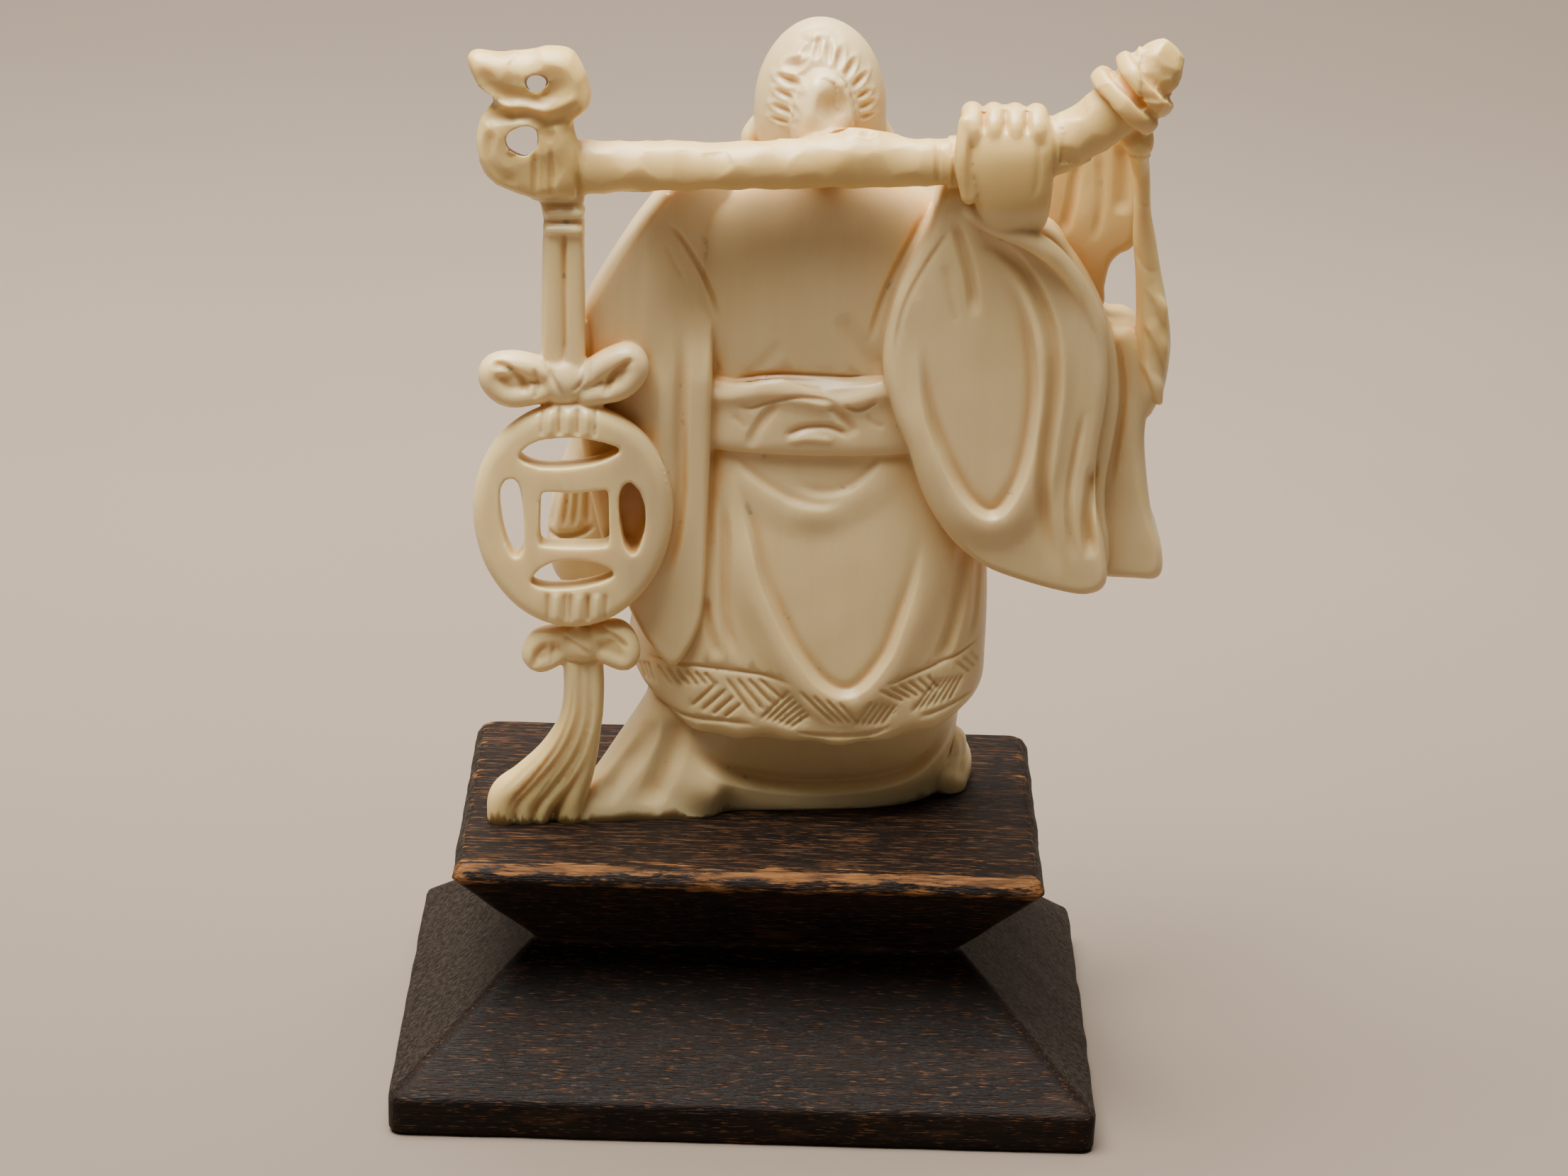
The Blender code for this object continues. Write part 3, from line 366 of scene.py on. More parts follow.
def head():
    """A tall bald skull with a small bun behind, and a calm elder's face in front."""
    forms = [
        ellipsoid((HEAD_X, 1.5, 84.5), (5.5, 5.5, 7.55)),
        ellipsoid((HEAD_X, 3.2, 80.8), (4.3, 4.1, 3.8)),
        limb([(HEAD_X, 1.6, 77, 3.0, 2.8), (HEAD_X, 1.5, 82, 2.8, 2.6)]),
        ellipsoid((4.25, -3.3, 84.5), (2.75, 3.1, 4.3)),
    ]
    for side in (-1, 1):
        ear = HEAD_X + side * 5.2
        forms.append(limb([(ear, 1.9, 82.8, 0.75, 1.0), (ear + 0.55 * side, 2.1, 81.4, 0.8, 1.2),
                           (ear, 2.5, 78.8, 0.7, 0.9)]))
        brow = [(0.9, 6.9, 85.9, 0.35, 0.35), (2.6, 6.5, 86.4, 0.45, 0.4), (4.2, 5.2, 85.4, 0.35, 0.35)]
        moustache = [(0.5, 7.4, 81.6, 0.4, 0.4), (2.2, 7.1, 80.5, 0.5, 0.45), (3.2, 7.2, 77.6, 0.35, 0.4)]
        upper_lid = [(1.0, 6.6, 84.6, 0.14, 0.2), (2.1, 6.45, 84.95, 0.18, 0.22), (3.3, 5.7, 84.5, 0.14, 0.2)]
        lower_lid = [(1.1, 6.6, 84.2, 0.1, 0.16), (2.1, 6.45, 83.9, 0.14, 0.18), (3.2, 5.8, 84.3, 0.1, 0.16)]
        for stations in (brow, moustache, upper_lid, lower_lid):
            forms.append(limb([(HEAD_X + side * across, *rest) for across, *rest in stations]))
        forms.append(ellipsoid((HEAD_X + side * 2.1, 5.9, 84.4), (1.0, 0.85, 0.55)))
        forms.append(ellipsoid((HEAD_X + side * 0.75, 7.3, 82.5), (0.55, 0.65, 0.5)))
    nose = limb([(HEAD_X, 6.7, 85.4, 0.5, 0.6), (HEAD_X, 7.6, 83.4, 0.65, 0.8),
                 (HEAD_X, 8.0, 82.3, 0.95, 0.75)])
    lower_lip = limb([(3.1, 6.9, 80.5, 0.22, 0.3), (HEAD_X, 7.35, 80.35, 0.32, 0.38),
                      (5.1, 6.9, 80.5, 0.22, 0.3)])
    beard = limb([(HEAD_X, 5.6, 79.8, 3.5, 2.0), (3.9, 7.4, 75.5, 3.3, 1.8), (3.6, 8.6, 70, 2.6, 1.6),
                  (3.2, 9.6, 64.5, 1.6, 1.2), (3.0, 9.9, 61.5, 0.7, 0.8)])
    return forms + [nose, lower_lip, beard]


FIRST_FINGER = 16.4
FINGER_STEP = 1.74


def raised_hand():
    """The figure's right hand, seen from behind, closed over the staff."""
    forms = [
        limb([(20.5, -5.6, 77.0, 1.9, 1.4), (20.4, -6.8, 78.3, 2.6, 2.1), (19.9, -7.7, 80.4, 3.3, 2.65),
              (19.4, -7.9, 83.4, 3.75, 2.7), (19.3, -7.5, 85.2, 3.65, 2.2)], power=3.0),
        limb([(15.9, -8.9, 86.2, 0.7, 0.8), (15.7, -9.6, 83.4, 0.75, 0.9), (16.3, -9.4, 80.2, 0.7, 0.9)]),
        limb([(22.1, -8.5, 86.2, 0.55, 0.7), (22.5, -9.2, 84.4, 0.6, 0.8), (22.4, -9.1, 82.2, 0.55, 0.8),
              (21.9, -8.8, 80.2, 0.5, 0.7)]),
    ]
    for knuckle in range(4):
        x = FIRST_FINGER + FINGER_STEP * knuckle
        finger = [(-9.3, 84.9, 0.8), (-8.9, 85.9, 0.95), (-7.2, 86.6, 0.95), (-5.0, 85.6, 0.9),
                  (-4.3, 83.4, 0.85), (-5.2, 81.2, 0.8)]
        forms.append(limb([(x, y, z, thick, thick) for y, z, thick in finger], reference=(1, 0, 0)))
    return forms


def lowered_hand():
    """The other arm, folded across the front, with its hand against the beard."""
    forms = [
        limb([(-11.5, 2.5, 66, 3.6, 3.2), (-8.5, 5.6, 62.4, 3.6, 3.0), (-3.6, 8.4, 62.2, 3.4, 2.6)]),
        ellipsoid((0.4, 9.6, 63.0), (2.3, 1.5, 2.1)),
    ]
    for finger in range(4):
        # One below the other, so close that they touch.
        z = 64.4 - 0.98 * finger
        forms.append(limb([(0.6, 10.6, z, 0.55, 0.55), (2.6, 11.5, z - 0.1, 0.55, 0.55),
                           (4.2, 11.0, z - 0.2, 0.5, 0.5)]))
    return forms


# What is carried


def staff():
    """A slightly knotty stick with one swelling near the neck, bent upwards at its bound end."""
    stations = []
    for share in np.linspace(0, 1, 19):
        x = -17.5 + 36.5 * share
        knob = 0.12 * math.sin(11 * share + 0.4) + 0.07 * math.sin(29 * share)
        swell = 0.3 * math.exp(-((x - 6.9) / 2.6) ** 2)
        z = 80.95 + 1.75 * share + 0.4 * knob + swell
        stations.append((x, -7.2, z, 2.15 + knob + swell, 2.15 - 0.5 * knob))
    bound_end = [(27.8, -7, 87.0, 2.45, 2.3), (30.0, -7, 89.2, 2.45, 2.25)]
    stations += [(22.6, -7.1, 83.7, 2.3, 2.2), (25.4, -7, 85.2, 2.35, 2.25), *bound_end,
                 (31.5, -7, 91.2, 2.35, 2.0)]
    low, high = (np.array(station[:3]) for station in bound_end)
    along = high - low
    bands = []
    for share, radius, lean in ((0.42, 2.95, -0.1), (1.1, 2.7, 0.08)):
        axis = along + (lean, 0, -lean)
        bands.append(ring_band(low + share * along, axis, radius, 0.85, 0.62))
    return [limb(stations)] + bands


ROOT_OUTLINE = [
    (-24.6, 90.3), (-23.9, 90.9), (-21.9, 90.7), (-19.7, 91.1), (-17.8, 91.4), (-16.4, 91.2), (-15.4, 90.2),
    (-14.8, 88.9), (-14.4, 87.5), (-14.7, 86.4), (-15.8, 85.2), (-15.5, 83.6), (-14.9, 81.4), (-15.6, 79.3),
    (-17.2, 78.6), (-18.9, 78.5), (-19.9, 78.8), (-21.1, 79.2), (-22.4, 79.8), (-23.3, 80.6), (-23.7, 81.9),
    (-23.9, 83.4), (-23.6, 84.9), (-23.1, 85.8), (-22.5, 86.7), (-23.0, 87.7), (-23.9, 88.2), (-24.5, 89.2)]
ROOT_HOLES = [((-19.0, 88.15), (0.8, 0.72)), ((-20.1, 83.4), (1.24, 1.14))]
ROOT_HOLE_LEAN = (-0.05, -0.25)
ROOT_DEPTH = (-10.0, -6.0)


def root_head():
    """The knotted root that ends the staff: a gnarled block pierced by two small holes."""
    block = pillow(ROOT_OUTLINE, (-19.0, 85.0), *ROOT_DEPTH, 1.7, 0.15)
    turns = np.arange(9) * 2 * math.pi / 9
    holes = []
    for (x, z), (across, up) in ROOT_HOLES:
        wobble = 1 + 0.07 * np.sin(3 * turns + x)
        holes.append(list(zip(x + across * wobble * np.cos(turns), z + up * wobble * np.sin(turns))))
    return [pierced(block, holes, (ROOT_DEPTH[0] - 2, ROOT_DEPTH[1] + 2), ROOT_HOLE_LEAN)]


def cord_bindings():
    """Cords round the staff beside the root, two bands below them and the double strap that hangs there."""
    forms = []
    for x, half_width in ((-18.3, 0.7), (-16.55, 1.0)):
        forms.append(ring_band((x, -7.3, 80.9), (1, 0, 0), 2.25, half_width, 0.55))
    for z in (77.5, 76.1):
        forms.append(limb([(-17.9, -7.5, z, 0.5, 1.45), (-15.4, -7.5, z, 0.5, 1.45)], power=2.6))
    forms.append(limb([(-16.9, -7.4, 80, 2.1, 1.3), (-16.8, -7.4, 77, 1.6, 1.2)], power=2.8))
    for x, width in ((-17.45, 0.98), (-15.75, 0.92)):
        forms.append(limb([(x, -7.4, 76.6, width * 0.9, 1.15), (x, -7.4, 71, width, 1.2),
                           (x + 0.1, -7.4, 63.5, width * 1.05, 1.2)], power=2.8))
    return forms


def bow(knot, knot_radii, loops, cord):
    """A knot with its fleshy loops. Each loop is the way its cord goes out and back, as (x, z) points."""
    forms = [ellipsoid(knot, knot_radii)]
    web = (2.0, 1.15, 1.3)
    for loop in loops:
        forms.append(limb([(x, knot[1], z, cord, 1.3 * cord) for x, z in loop]))
        # The loop isn't cut through: a thin web of ivory stays inside it.
        middle = np.mean(loop, axis=0)
        forms.append(ellipsoid((middle[0], knot[1] + 0.2, middle[1]), web))
    return forms


def bows():
    upper = bow((-16.5, -7.9, 63.0), (2.3, 1.6, 2.0), [
        [(-18.0, 63.9), (-20.4, 64.4), (-22.2, 64.1), (-22.4, 62.9), (-20.9, 61.7), (-18.2, 62.2)],
        [(-14.8, 63.4), (-12.8, 64.8), (-11.1, 65.4), (-10.5, 64.3), (-11.7, 62.7), (-14.4, 62.0)],
    ], 1.1)
    lower = bow((-14.9, -7.3, 39.6), (2.1, 1.5, 1.9), [
        [(-16.4, 40.4), (-18.2, 39.9), (-18.9, 38.6), (-18.2, 37.8), (-16.6, 38.6)],
        [(-13.4, 40.6), (-11.6, 40.8), (-10.7, 39.4), (-11.0, 38.2), (-12.8, 38.8)],
    ], 0.95)
    return upper + lower


COIN_CENTRE = (-15.6, 51.4)
COIN_RADII = (8.4, 9.9)
COIN_VAULT = 1.3
COIN_HALF_THICKNESS = 1.2
COIN_DEPTH = -7.0
COIN_OPENINGS = [
    [(-20.1, 56.6), (-18.9, 57.9), (-17.2, 58.4), (-15.2, 58.5), (-13.3, 58.2), (-11.7, 57.5), (-12.9, 56.6),
     (-14.8, 56.1), (-17.1, 55.8), (-18.9, 55.9)],
    [(-19.0, 45.7), (-18.0, 47.0), (-16.7, 47.6), (-14.7, 47.7), (-13.1, 47.4), (-12.0, 46.5), (-13.1, 45.8),
     (-15.0, 45.3), (-17.0, 45.1), (-18.3, 45.2)],
    [(-21.7, 53.2), (-21.1, 54.5), (-20.2, 54.4), (-19.8, 52.8), (-19.6, 50.5), (-19.7, 48.3), (-20.4, 47.7),
     (-21.1, 48.8), (-21.6, 50.9)],
    [(-11.6, 53.9), (-10.9, 54.7), (-10.0, 53.8), (-9.5, 52.1), (-9.6, 50.0), (-10.3, 48.2), (-11.1, 48.9),
     (-11.5, 50.7), (-11.7, 52.4)],
    [(-18.2, 53.2), (-17.8, 53.7), (-15.2, 53.7), (-13.1, 54.0), (-12.6, 53.7), (-12.5, 51.5), (-12.5, 49.4),
     (-12.9, 49.0), (-15.5, 48.9), (-17.9, 48.9), (-18.3, 49.3), (-18.3, 51.5)],
]


def pierced(form, openings, depths, lean=(0.0, 0.0)):
    """The form with openings cut through it, each a smooth closed outline of (x, z) points.

    lean is how far the openings move along x and z for each step in depth from the middle one.
    """
    block = joined("block", [form])
    cutters = []
    for opening in openings:
        edge = curve_through([(a, 0.0, b) for a, b in opening], closed=True)
        if np.cross(edge[:, [0, 2]], np.roll(edge[:, [0, 2]], -1, axis=0)).sum() > 0:
            edge = edge[::-1]
        middle = sum(depths) / 2
        ends = [edge + (lean[0] * (d - middle), d, lean[1] * (d - middle)) for d in depths]
        cutters.append(skin(np.array(ends)))
    cutter = joined("openings", cutters)
    cut = block.modifiers.new("pierced", "BOOLEAN")
    cut.operation = "DIFFERENCE"
    cut.solver = "EXACT"
    cut.object = cutter
    graph = bpy.context.evaluated_depsgraph_get()
    result = block.evaluated_get(graph).to_mesh()
    points = np.array([vertex.co for vertex in result.vertices])
    faces = [tuple(face.vertices) for face in result.polygons]
    bpy.data.objects.remove(block)
    bpy.data.objects.remove(cutter)
    return points, faces


def coin():
    """A round coin, vaulted away from the figure's back, with a window and four lenses cut through it."""
    turns = np.arange(28) * 2 * math.pi / 28
    x, z = COIN_CENTRE
    outline = np.column_stack([x + COIN_RADII[0] * np.cos(turns), z + COIN_RADII[1] * np.sin(turns)])
    disc = pillow(outline, COIN_CENTRE, -COIN_HALF_THICKNESS, COIN_HALF_THICKNESS, 1.1, 0.1)
    points, faces = pierced(disc, COIN_OPENINGS, (-3, 3))
    points[:, 1] += COIN_DEPTH - COIN_VAULT * (1 - ((points[:, 0] - x) / COIN_RADII[0]) ** 2)
    return [(points, faces)]


def tassel():
    """Strands that fall from the lower bow and swing out to a foot beside the trailing hem."""
    # The strands from left to right, as x, z and half width. Each lies a little behind the one before it.
    strands = [
        [(-15.4, 38.4, 0.95), (-15.3, 35, 0.9), (-15.7, 32.4, 0.95), (-17.1, 29.6, 1.1), (-19.3, 27, 1.3),
         (-21.0, 25.2, 1.5), (-21.4, 22.6, 1.3)],
        [(-14.6, 38.4, 0.9), (-14.5, 35, 0.9), (-14.7, 32.2, 0.9), (-15.8, 29.4, 1.0), (-17.6, 26.8, 1.1),
         (-19.2, 24.6, 1.15), (-19.6, 22, 1.0)],
        [(-13.8, 38.4, 0.9), (-13.6, 35, 0.85), (-13.8, 32, 0.9), (-14.6, 29.2, 0.95), (-16.1, 26.6, 1.0),
         (-17.7, 24.2, 0.9), (-18.2, 22, 0.8)],
        [(-13.4, 36, 0.5), (-13.5, 33, 0.6), (-13.8, 30, 0.7), (-14.4, 27.4, 0.9), (-15.3, 24.8, 1.2),
         (-15.7, 22.2, 1.3)],
    ]
    forms = []
    for order, strand in enumerate(strands):
        stations = []
        for x, z, width in strand:
            stations.append((x, -7.1 + 0.22 * order + 0.07 * max(0, 31 - z), z, width, 1.25))
        forms.append(limb(stations))
    return forms


def hanging_cloth():
    """What hangs from the staff's bound end: a thin fold of cloth, and a leafy sprig beside it."""
    cloth = pillow(
        [(20, 84), (24, 84.4), (28, 85.5), (30.8, 84), (31.3, 79), (31.2, 75), (30.5, 73.4), (29.8, 73.1),
         (28.9, 72.1), (28.5, 70.2), (28.2, 68), (24, 66), (20, 70), (19, 78)],
        (25, 77), -0.6, 2.4, 1.0)
    tie = limb([(30.0, -5.6, 84.6, 1.5, 1.8), (30.3, -3.8, 83.4, 1.0, 1.9), (30.6, -3.0, 81.4, 0.7, 1.2)])
    sprig = limb([(30.45, -3.2, 83.2, 0.75, 1.0), (30.8, -2.9, 80.4, 0.7, 0.95),
                  (31.0, -2.8, 77.8, 0.72, 1.0), (31.3, -2.7, 75.4, 0.95, 1.1), (31.7, -2.7, 73, 1.05, 1.2),
                  (32.15, -2.6, 70.2, 1.25, 1.4), (32.5, -2.4, 67.4, 1.45, 1.7), (32.6, -2.2, 65, 1.5, 1.8),
                  (32.5, -2.1, 62.2, 1.3, 1.6), (32.2, -2.0, 60.2, 0.8, 1.1)])
    leaves = []
    for x, z, length in ((33.0, 69.6, 3.4), (33.25, 66.4, 3.6), (33.05, 62.9, 3.4)):
        leaf = [(x - 0.9, -3.4, z + 0.45 * length, 0.4, 0.5), (x - 0.15, -3.5, z, 0.7, 0.65),
                (x + 0.3, -3.1, z - 0.5 * length, 0.35, 0.5)]
        leaves.append(limb(leaf))
    return [cloth, tie, sprig] + leaves


# Fusing the forms and carving them


def linked(name, data):
    """A new object with this data, placed in the scene."""
    made = bpy.data.objects.new(name, data)
    bpy.context.scene.collection.objects.link(made)
    return made


def joined(name, forms):
    points = np.vstack([form[0] for form in forms])
    faces, base = [], 0
    for vertices, polygons in forms:
        faces += [tuple(base + i for i in polygon) for polygon in polygons]
        base += len(vertices)
    mesh = bpy.data.meshes.new(name)
    mesh.from_pydata(points.tolist(), [], faces)
    return linked(name, mesh)


def fused(work):
    """One skin over all the forms, with the soft inner corners that a carver's tools and polishing leave."""
    voxels = work.modifiers.new("fuse", "REMESH")
    voxels.mode = "VOXEL"
    voxels.voxel_size = FUSE_GRID
    soften = work.modifiers.new("soften", "SMOOTH")
    soften.factor = 0.5
    soften.iterations = FUSE_PASSES
    graph = bpy.context.evaluated_depsgraph_get()
    mesh = bpy.data.meshes.new_from_object(work.evaluated_get(graph))
    bpy.data.objects.remove(work)
    return mesh


def nearest_on(line, points):
    """Distance of each point to the line, signed by its side of it, and how far along the line, 0 to 1."""
    best = np.full(len(points), 1e9)
    side = np.ones(len(points))
    along = np.zeros(len(points))
    lengths = np.linalg.norm(np.diff(line, axis=0), axis=1)
    starts = np.concatenate([[0], np.cumsum(lengths)])
    for i, length in enumerate(lengths):
        step = line[i + 1] - line[i]
        share = np.clip((points - line[i]) @ step / length**2, 0, 1)
        gap = points - line[i] - share[:, None] * step
        distance = np.linalg.norm(gap, axis=1)
        closer = distance < best
        turn = step[0] * gap[:, 1] - step[1] * gap[:, 0]
        best = np.where(closer, distance, best)
        side = np.where(closer, np.where(turn >= 0, 1.0, -1.0), side)
        along = np.where(closer, (starts[i] + share * length) / starts[-1], along)
    return best * side, along


# Each cut has a half width, a depth, and the x and z of the points that its line runs through. It fades out
# over a share of its length at either end. It acts where the skin faces it by more than FACING_LEAST, and in
# full after FACING_SPAN more.
LAP_REACH = 4.5
CUT_FADE = 0.22
CUT_STEP = 0.3
FACING_LEAST = 0.15
FACING_SPAN = 0.45


def groove(width, depth, *line):
    """A line that sinks, or that stands up as a ridge when its depth is negative."""
    return "groove", width, depth, line


def lap(width, depth, *line):
    """An edge of cloth. It lifts the skin on the line's left, dying away over LAP_REACH widths."""
    return "lap", width, depth, line


GARMENT_CUTS = [
    groove(0.38, 0.36, (-8.4, 76.4), (-7.3, 75), (-6.1, 73), (-4.6, 70), (-3.6, 67.2)),
    groove(0.35, 0.12, (-8.4, 74.6), (-7.6, 72.6), (-6.6, 70.8)),
    groove(0.45, 0.35, (13.2, 77.4), (10.9, 73), (9.5, 69.2), (8.7, 65.6)),
    groove(0.35, 0.2, (15.4, 77.4), (12.9, 73.2), (11.4, 69.6), (10.8, 65.4)),
    groove(1.3, 0.24, (6.2, 68.8), (7.6, 66.3), (9.8, 63.2)),
    groove(0.35, 0.3, (-3.2, 62.1), (-0.9, 62.8), (1.5, 63.2), (4.4, 63.2), (7.4, 63.1), (10, 63.1)),
    groove(0.9, 0.12, (1.6, 66.2), (-0.2, 63.8), (-2.1, 62.1)),
    groove(0.35, 0.28, (-2.4, 60.5), (-0.9, 60.4), (0.5, 61), (2.7, 61.6), (5.1, 61.4), (6.9, 60.9)),
    groove(0.35, 0.28, (6.6, 61), (8.2, 60.6), (9.8, 61.5)),
    groove(0.45, 0.12, (8.6, 60.1), (9.4, 59.3), (10.4, 58.9)),
    groove(0.45, 0.1, (-2.7, 59.5), (-1.9, 59.2), (-1.3, 58.4)),
    lap(0.75, 0.3, (10.6, 57), (9.6, 55.1), (8, 53.5), (6.2, 52.8), (4.4, 52.8), (2.8, 53.6)),
    lap(0.75, 0.3, (7.4, 52.6), (5.6, 51.8), (3, 52), (1.2, 52.8), (-0.6, 54), (-2.6, 55.8)),
    groove(0.7, 0.3, (1.5, 61.2), (0.3, 59.7), (-0.6, 58.1), (-1, 56.6)),
    groove(0.5, 0.35, (1.7, 57.8), (3.1, 58.7), (4.6, 59), (6, 58.9), (7.8, 58)),
    groove(0.5, -0.22, (2, 57.6), (4, 58), (6.4, 57.8)),
    groove(0.7, 0.3, (5.3, 61.2), (6.9, 59.8), (8, 58.2)),
    lap(0.8, 0.65, (14.2, 50), (13.4, 45.5), (12.4, 42), (11.4, 39), (10, 36.8), (8.6, 35.5), (7.1, 35.4),
        (5.3, 36.6), (3.5, 39), (2, 41.8), (0.5, 45.2), (-0.6, 49.2), (-1.7, 52.3), (-2.9, 54.5)),
    groove(0.7, 0.4, (-3.1, 52.6), (-2.8, 48.8), (-2.7, 44.4), (-2.3, 40.6), (-1.1, 37.6)),
    groove(0.6, 0.3, (-4.4, 43.5), (-3.9, 40.6), (-3.1, 37.8)),
    groove(0.9, 0.6, (17.4, 49), (17.2, 43.6), (16.4, 39.6), (15.2, 37)),
    groove(0.5, 0.3, (18.9, 47), (18.7, 42), (18.3, 39)),
    groove(0.8, 0.5, (-6.8, 67.6), (-6.7, 62.6), (-6.7, 57.6), (-6.6, 53), (-7.2, 48), (-8.3, 44)),
    groove(1.1, -0.25, (-8.6, 66), (-8.2, 60), (-8.4, 53), (-9.4, 47)),
    groove(0.7, 0.5, (15.2, 77.8), (16.2, 74.8), (16.9, 72.4), (17.4, 69.2)),
    groove(0.6, 0.14, (14.7, 74), (15.2, 71.4), (15.9, 68.6)),
    groove(0.9, 0.8, (16.2, 76.2), (19.4, 74.9), (21.6, 72.7), (23.2, 69.5), (24, 66), (24.1, 62.5),
           (23.8, 58.8), (23.6, 55), (23.9, 52), (24.6, 49), (25.4, 46.4)),
    lap(0.8, 0.8, (18.7, 73.9), (20.9, 71.2), (22.2, 67.6), (22.7, 63.5), (22.5, 59.2), (21.8, 55.4),
        (20.5, 52.8), (19.1, 52.2), (17.4, 53.4), (15.6, 56.3), (13.9, 60.4), (13.1, 64.6), (13, 68)),
    groove(0.5, 0.3, (26.8, 62), (26.3, 58), (25.9, 54), (26.2, 50.5), (26.9, 47.6)),
    groove(0.75, 0.8, (27.9, 57), (27.7, 54.4), (27.6, 51.8), (27.9, 49.4), (28, 48.2)),
    groove(0.4, 0.25, (29.4, 67.2), (30.3, 62), (30, 57), (29.6, 53)),
    lap(1, 1.1, (18.2, 30.6), (17.2, 29.2), (14.6, 26.2), (10.2, 24.8), (4.4, 24.6), (-0.8, 25.6),
        (-4, 27.6), (-5.6, 30)),
    groove(1.3, 0.45, (-8.6, 32), (-9.4, 29.6), (-11.2, 26.8), (-13, 24.2)),
    groove(1.5, 0.5, (-6.4, 32), (-6.9, 29), (-7.9, 26.4), (-9, 23.8)),
    groove(0.4, 0.3, (18.2, 28.4), (18.6, 26.3), (18.2, 23.9)),
]

# The hem's band lies between two cut lines and is filled with hatching that turns about. Each group is its
# number of strokes, the first stroke's ends and the last one's.
HEM_LINES = [
    groove(0.3, 0.28, (-10.4, 36.9), (-8.2, 37.1), (-1.9, 37), (1.1, 36.7), (3.6, 35.9)),
    groove(0.3, 0.28, (10.7, 36), (12.9, 36.8), (15.5, 37.6), (17.8, 38.4), (19.6, 39.5)),
    groove(0.3, 0.25, (-9.9, 34.9), (-9, 33.8), (-7.7, 32.9), (-5.3, 32.3), (-2.2, 32.3), (0.4, 32.1)),
    groove(0.3, 0.22, (3.6, 31.6), (4.8, 31.4), (7.2, 31.3), (10, 31.5), (12.2, 32.4)),
    groove(0.3, 0.25, (14.1, 32.9), (16.3, 33.5), (19.1, 34.6)),
]
HATCHING = [
    (3, ((-9.9, 36.4), (-9.2, 34.8)), ((-9.2, 36.7), (-8.4, 34.6))),
    (6, ((-8.4, 36.7), (-6.9, 34.8)), ((-4.3, 36.6), (-3.3, 35.5))),
    (4, ((-2.9, 36.0), (-5.5, 33.1)), ((-0.9, 34.2), (-2.6, 32.5))),
    (4, ((-2.5, 36.4), (0.3, 32.7)), ((0.3, 36.5), (2.6, 34.5))),
    (6, ((3.2, 35.6), (0.5, 32.5)), ((4.9, 33.4), (3.1, 31.9))),
    (4, ((3.8, 35.7), (7.2, 32.3)), ((7.2, 34.8), (9.1, 32.4))),
    (5, ((10.2, 34.9), (8.6, 32.2)), ((12.2, 34.3), (10.9, 32.2))),
    (6, ((10.6, 35.9), (13.0, 34.4)), ((14.7, 36.8), (15.9, 35.2))),
    (6, ((15.9, 36.6), (13.4, 33.2)), ((18.0, 36.5), (16.6, 33.9))),
    (3, ((17.2, 37.6), (18.6, 36.1)), ((18.3, 38.3), (19.3, 36.9))),
]

# What is carried lies nearer than the garments, so its cuts stop at this depth.
CARRIED_DEPTH = -5.2
CARRIED_CUTS = [
    groove(0.32, 0.28, (-16.6, 76.4), (-16.5, 71), (-16.4, 66), (-16.3, 64.6)),
    groove(0.3, 0.19, (-14.7, 69), (-14.4, 66), (-14.3, 62.8)),
    groove(0.35, 0.31, (-19, 83.4), (-19, 78.9)),
    groove(0.35, 0.25, (-17.65, 83.6), (-17.55, 79)),
    groove(0.35, 0.31, (-15.5, 83.6), (-15.4, 78.9)),
    groove(0.35, 0.28, (-19.2, 78.2), (-15.1, 78.4)),
    groove(0.3, 0.19, (-19, 76.7), (-15.1, 76.9)),
    groove(0.5, 0.37, (-22.7, 64.5), (-21.3, 64.5), (-20.1, 63.6), (-19.5, 62)),
    groove(0.45, 0.37, (-10.5, 65.6), (-12, 64.5), (-12.6, 63.4), (-13.1, 62)),
    groove(0.35, 0.25, (-18.2, 65.6), (-17.6, 64.1), (-16.7, 62.6), (-16.2, 61.6)),
    groove(0.3, 0.19, (-14.6, 64.9), (-14.9, 63.4), (-15.9, 62.4)),
    groove(0.35, 0.22, (-18.9, 64.6), (-18.6, 63), (-18.9, 61.6)),
    groove(0.4, 0.25, (-17.4, 40), (-18.4, 39), (-18.8, 37.4)),
    groove(0.3, 0.15, (-17, 40.3), (-17.3, 37.8)),
    groove(0.35, 0.28, (-13.5, 41.6), (-11.9, 40.7), (-10.6, 39.5)),
    groove(0.3, 0.19, (-16.4, 40.7), (-15, 39.9), (-13.7, 38.8)),
    groove(0.3, 0.22, (-16.2, 38.3), (-14.5, 38.1), (-12.9, 38.2)),
    groove(0.3, 0.14, (-15.3, 37), (-15.5, 33.6), (-16.6, 30.4), (-18.6, 27.4), (-20.4, 25), (-20.9, 23.2)),
    groove(0.22, 0.07, (-15.9, 36.4), (-16.2, 33), (-17.7, 29.9), (-20, 27.2), (-21.9, 25.2)),
    groove(0.22, 0.07, (-14.5, 36.4), (-14.7, 32.8), (-15.7, 29.6), (-17.5, 26.6), (-19.1, 24)),
    groove(0.2, 0.09, (-13.7, 36), (-13.9, 32), (-14.9, 28.6), (-16.6, 25.6)),
    groove(0.45, 0.16, (16.3, 85.8), (16.2, 82.4), (16.6, 79)),
    groove(0.45, 0.12, (21.7, 86), (21.8, 82.4), (21.4, 80)),
    groove(0.35, 0.3, (14.9, 85.6), (15, 83), (15.1, 80)),
    groove(0.28, 0.25, (13.6, 85), (13.7, 80.4)),
]
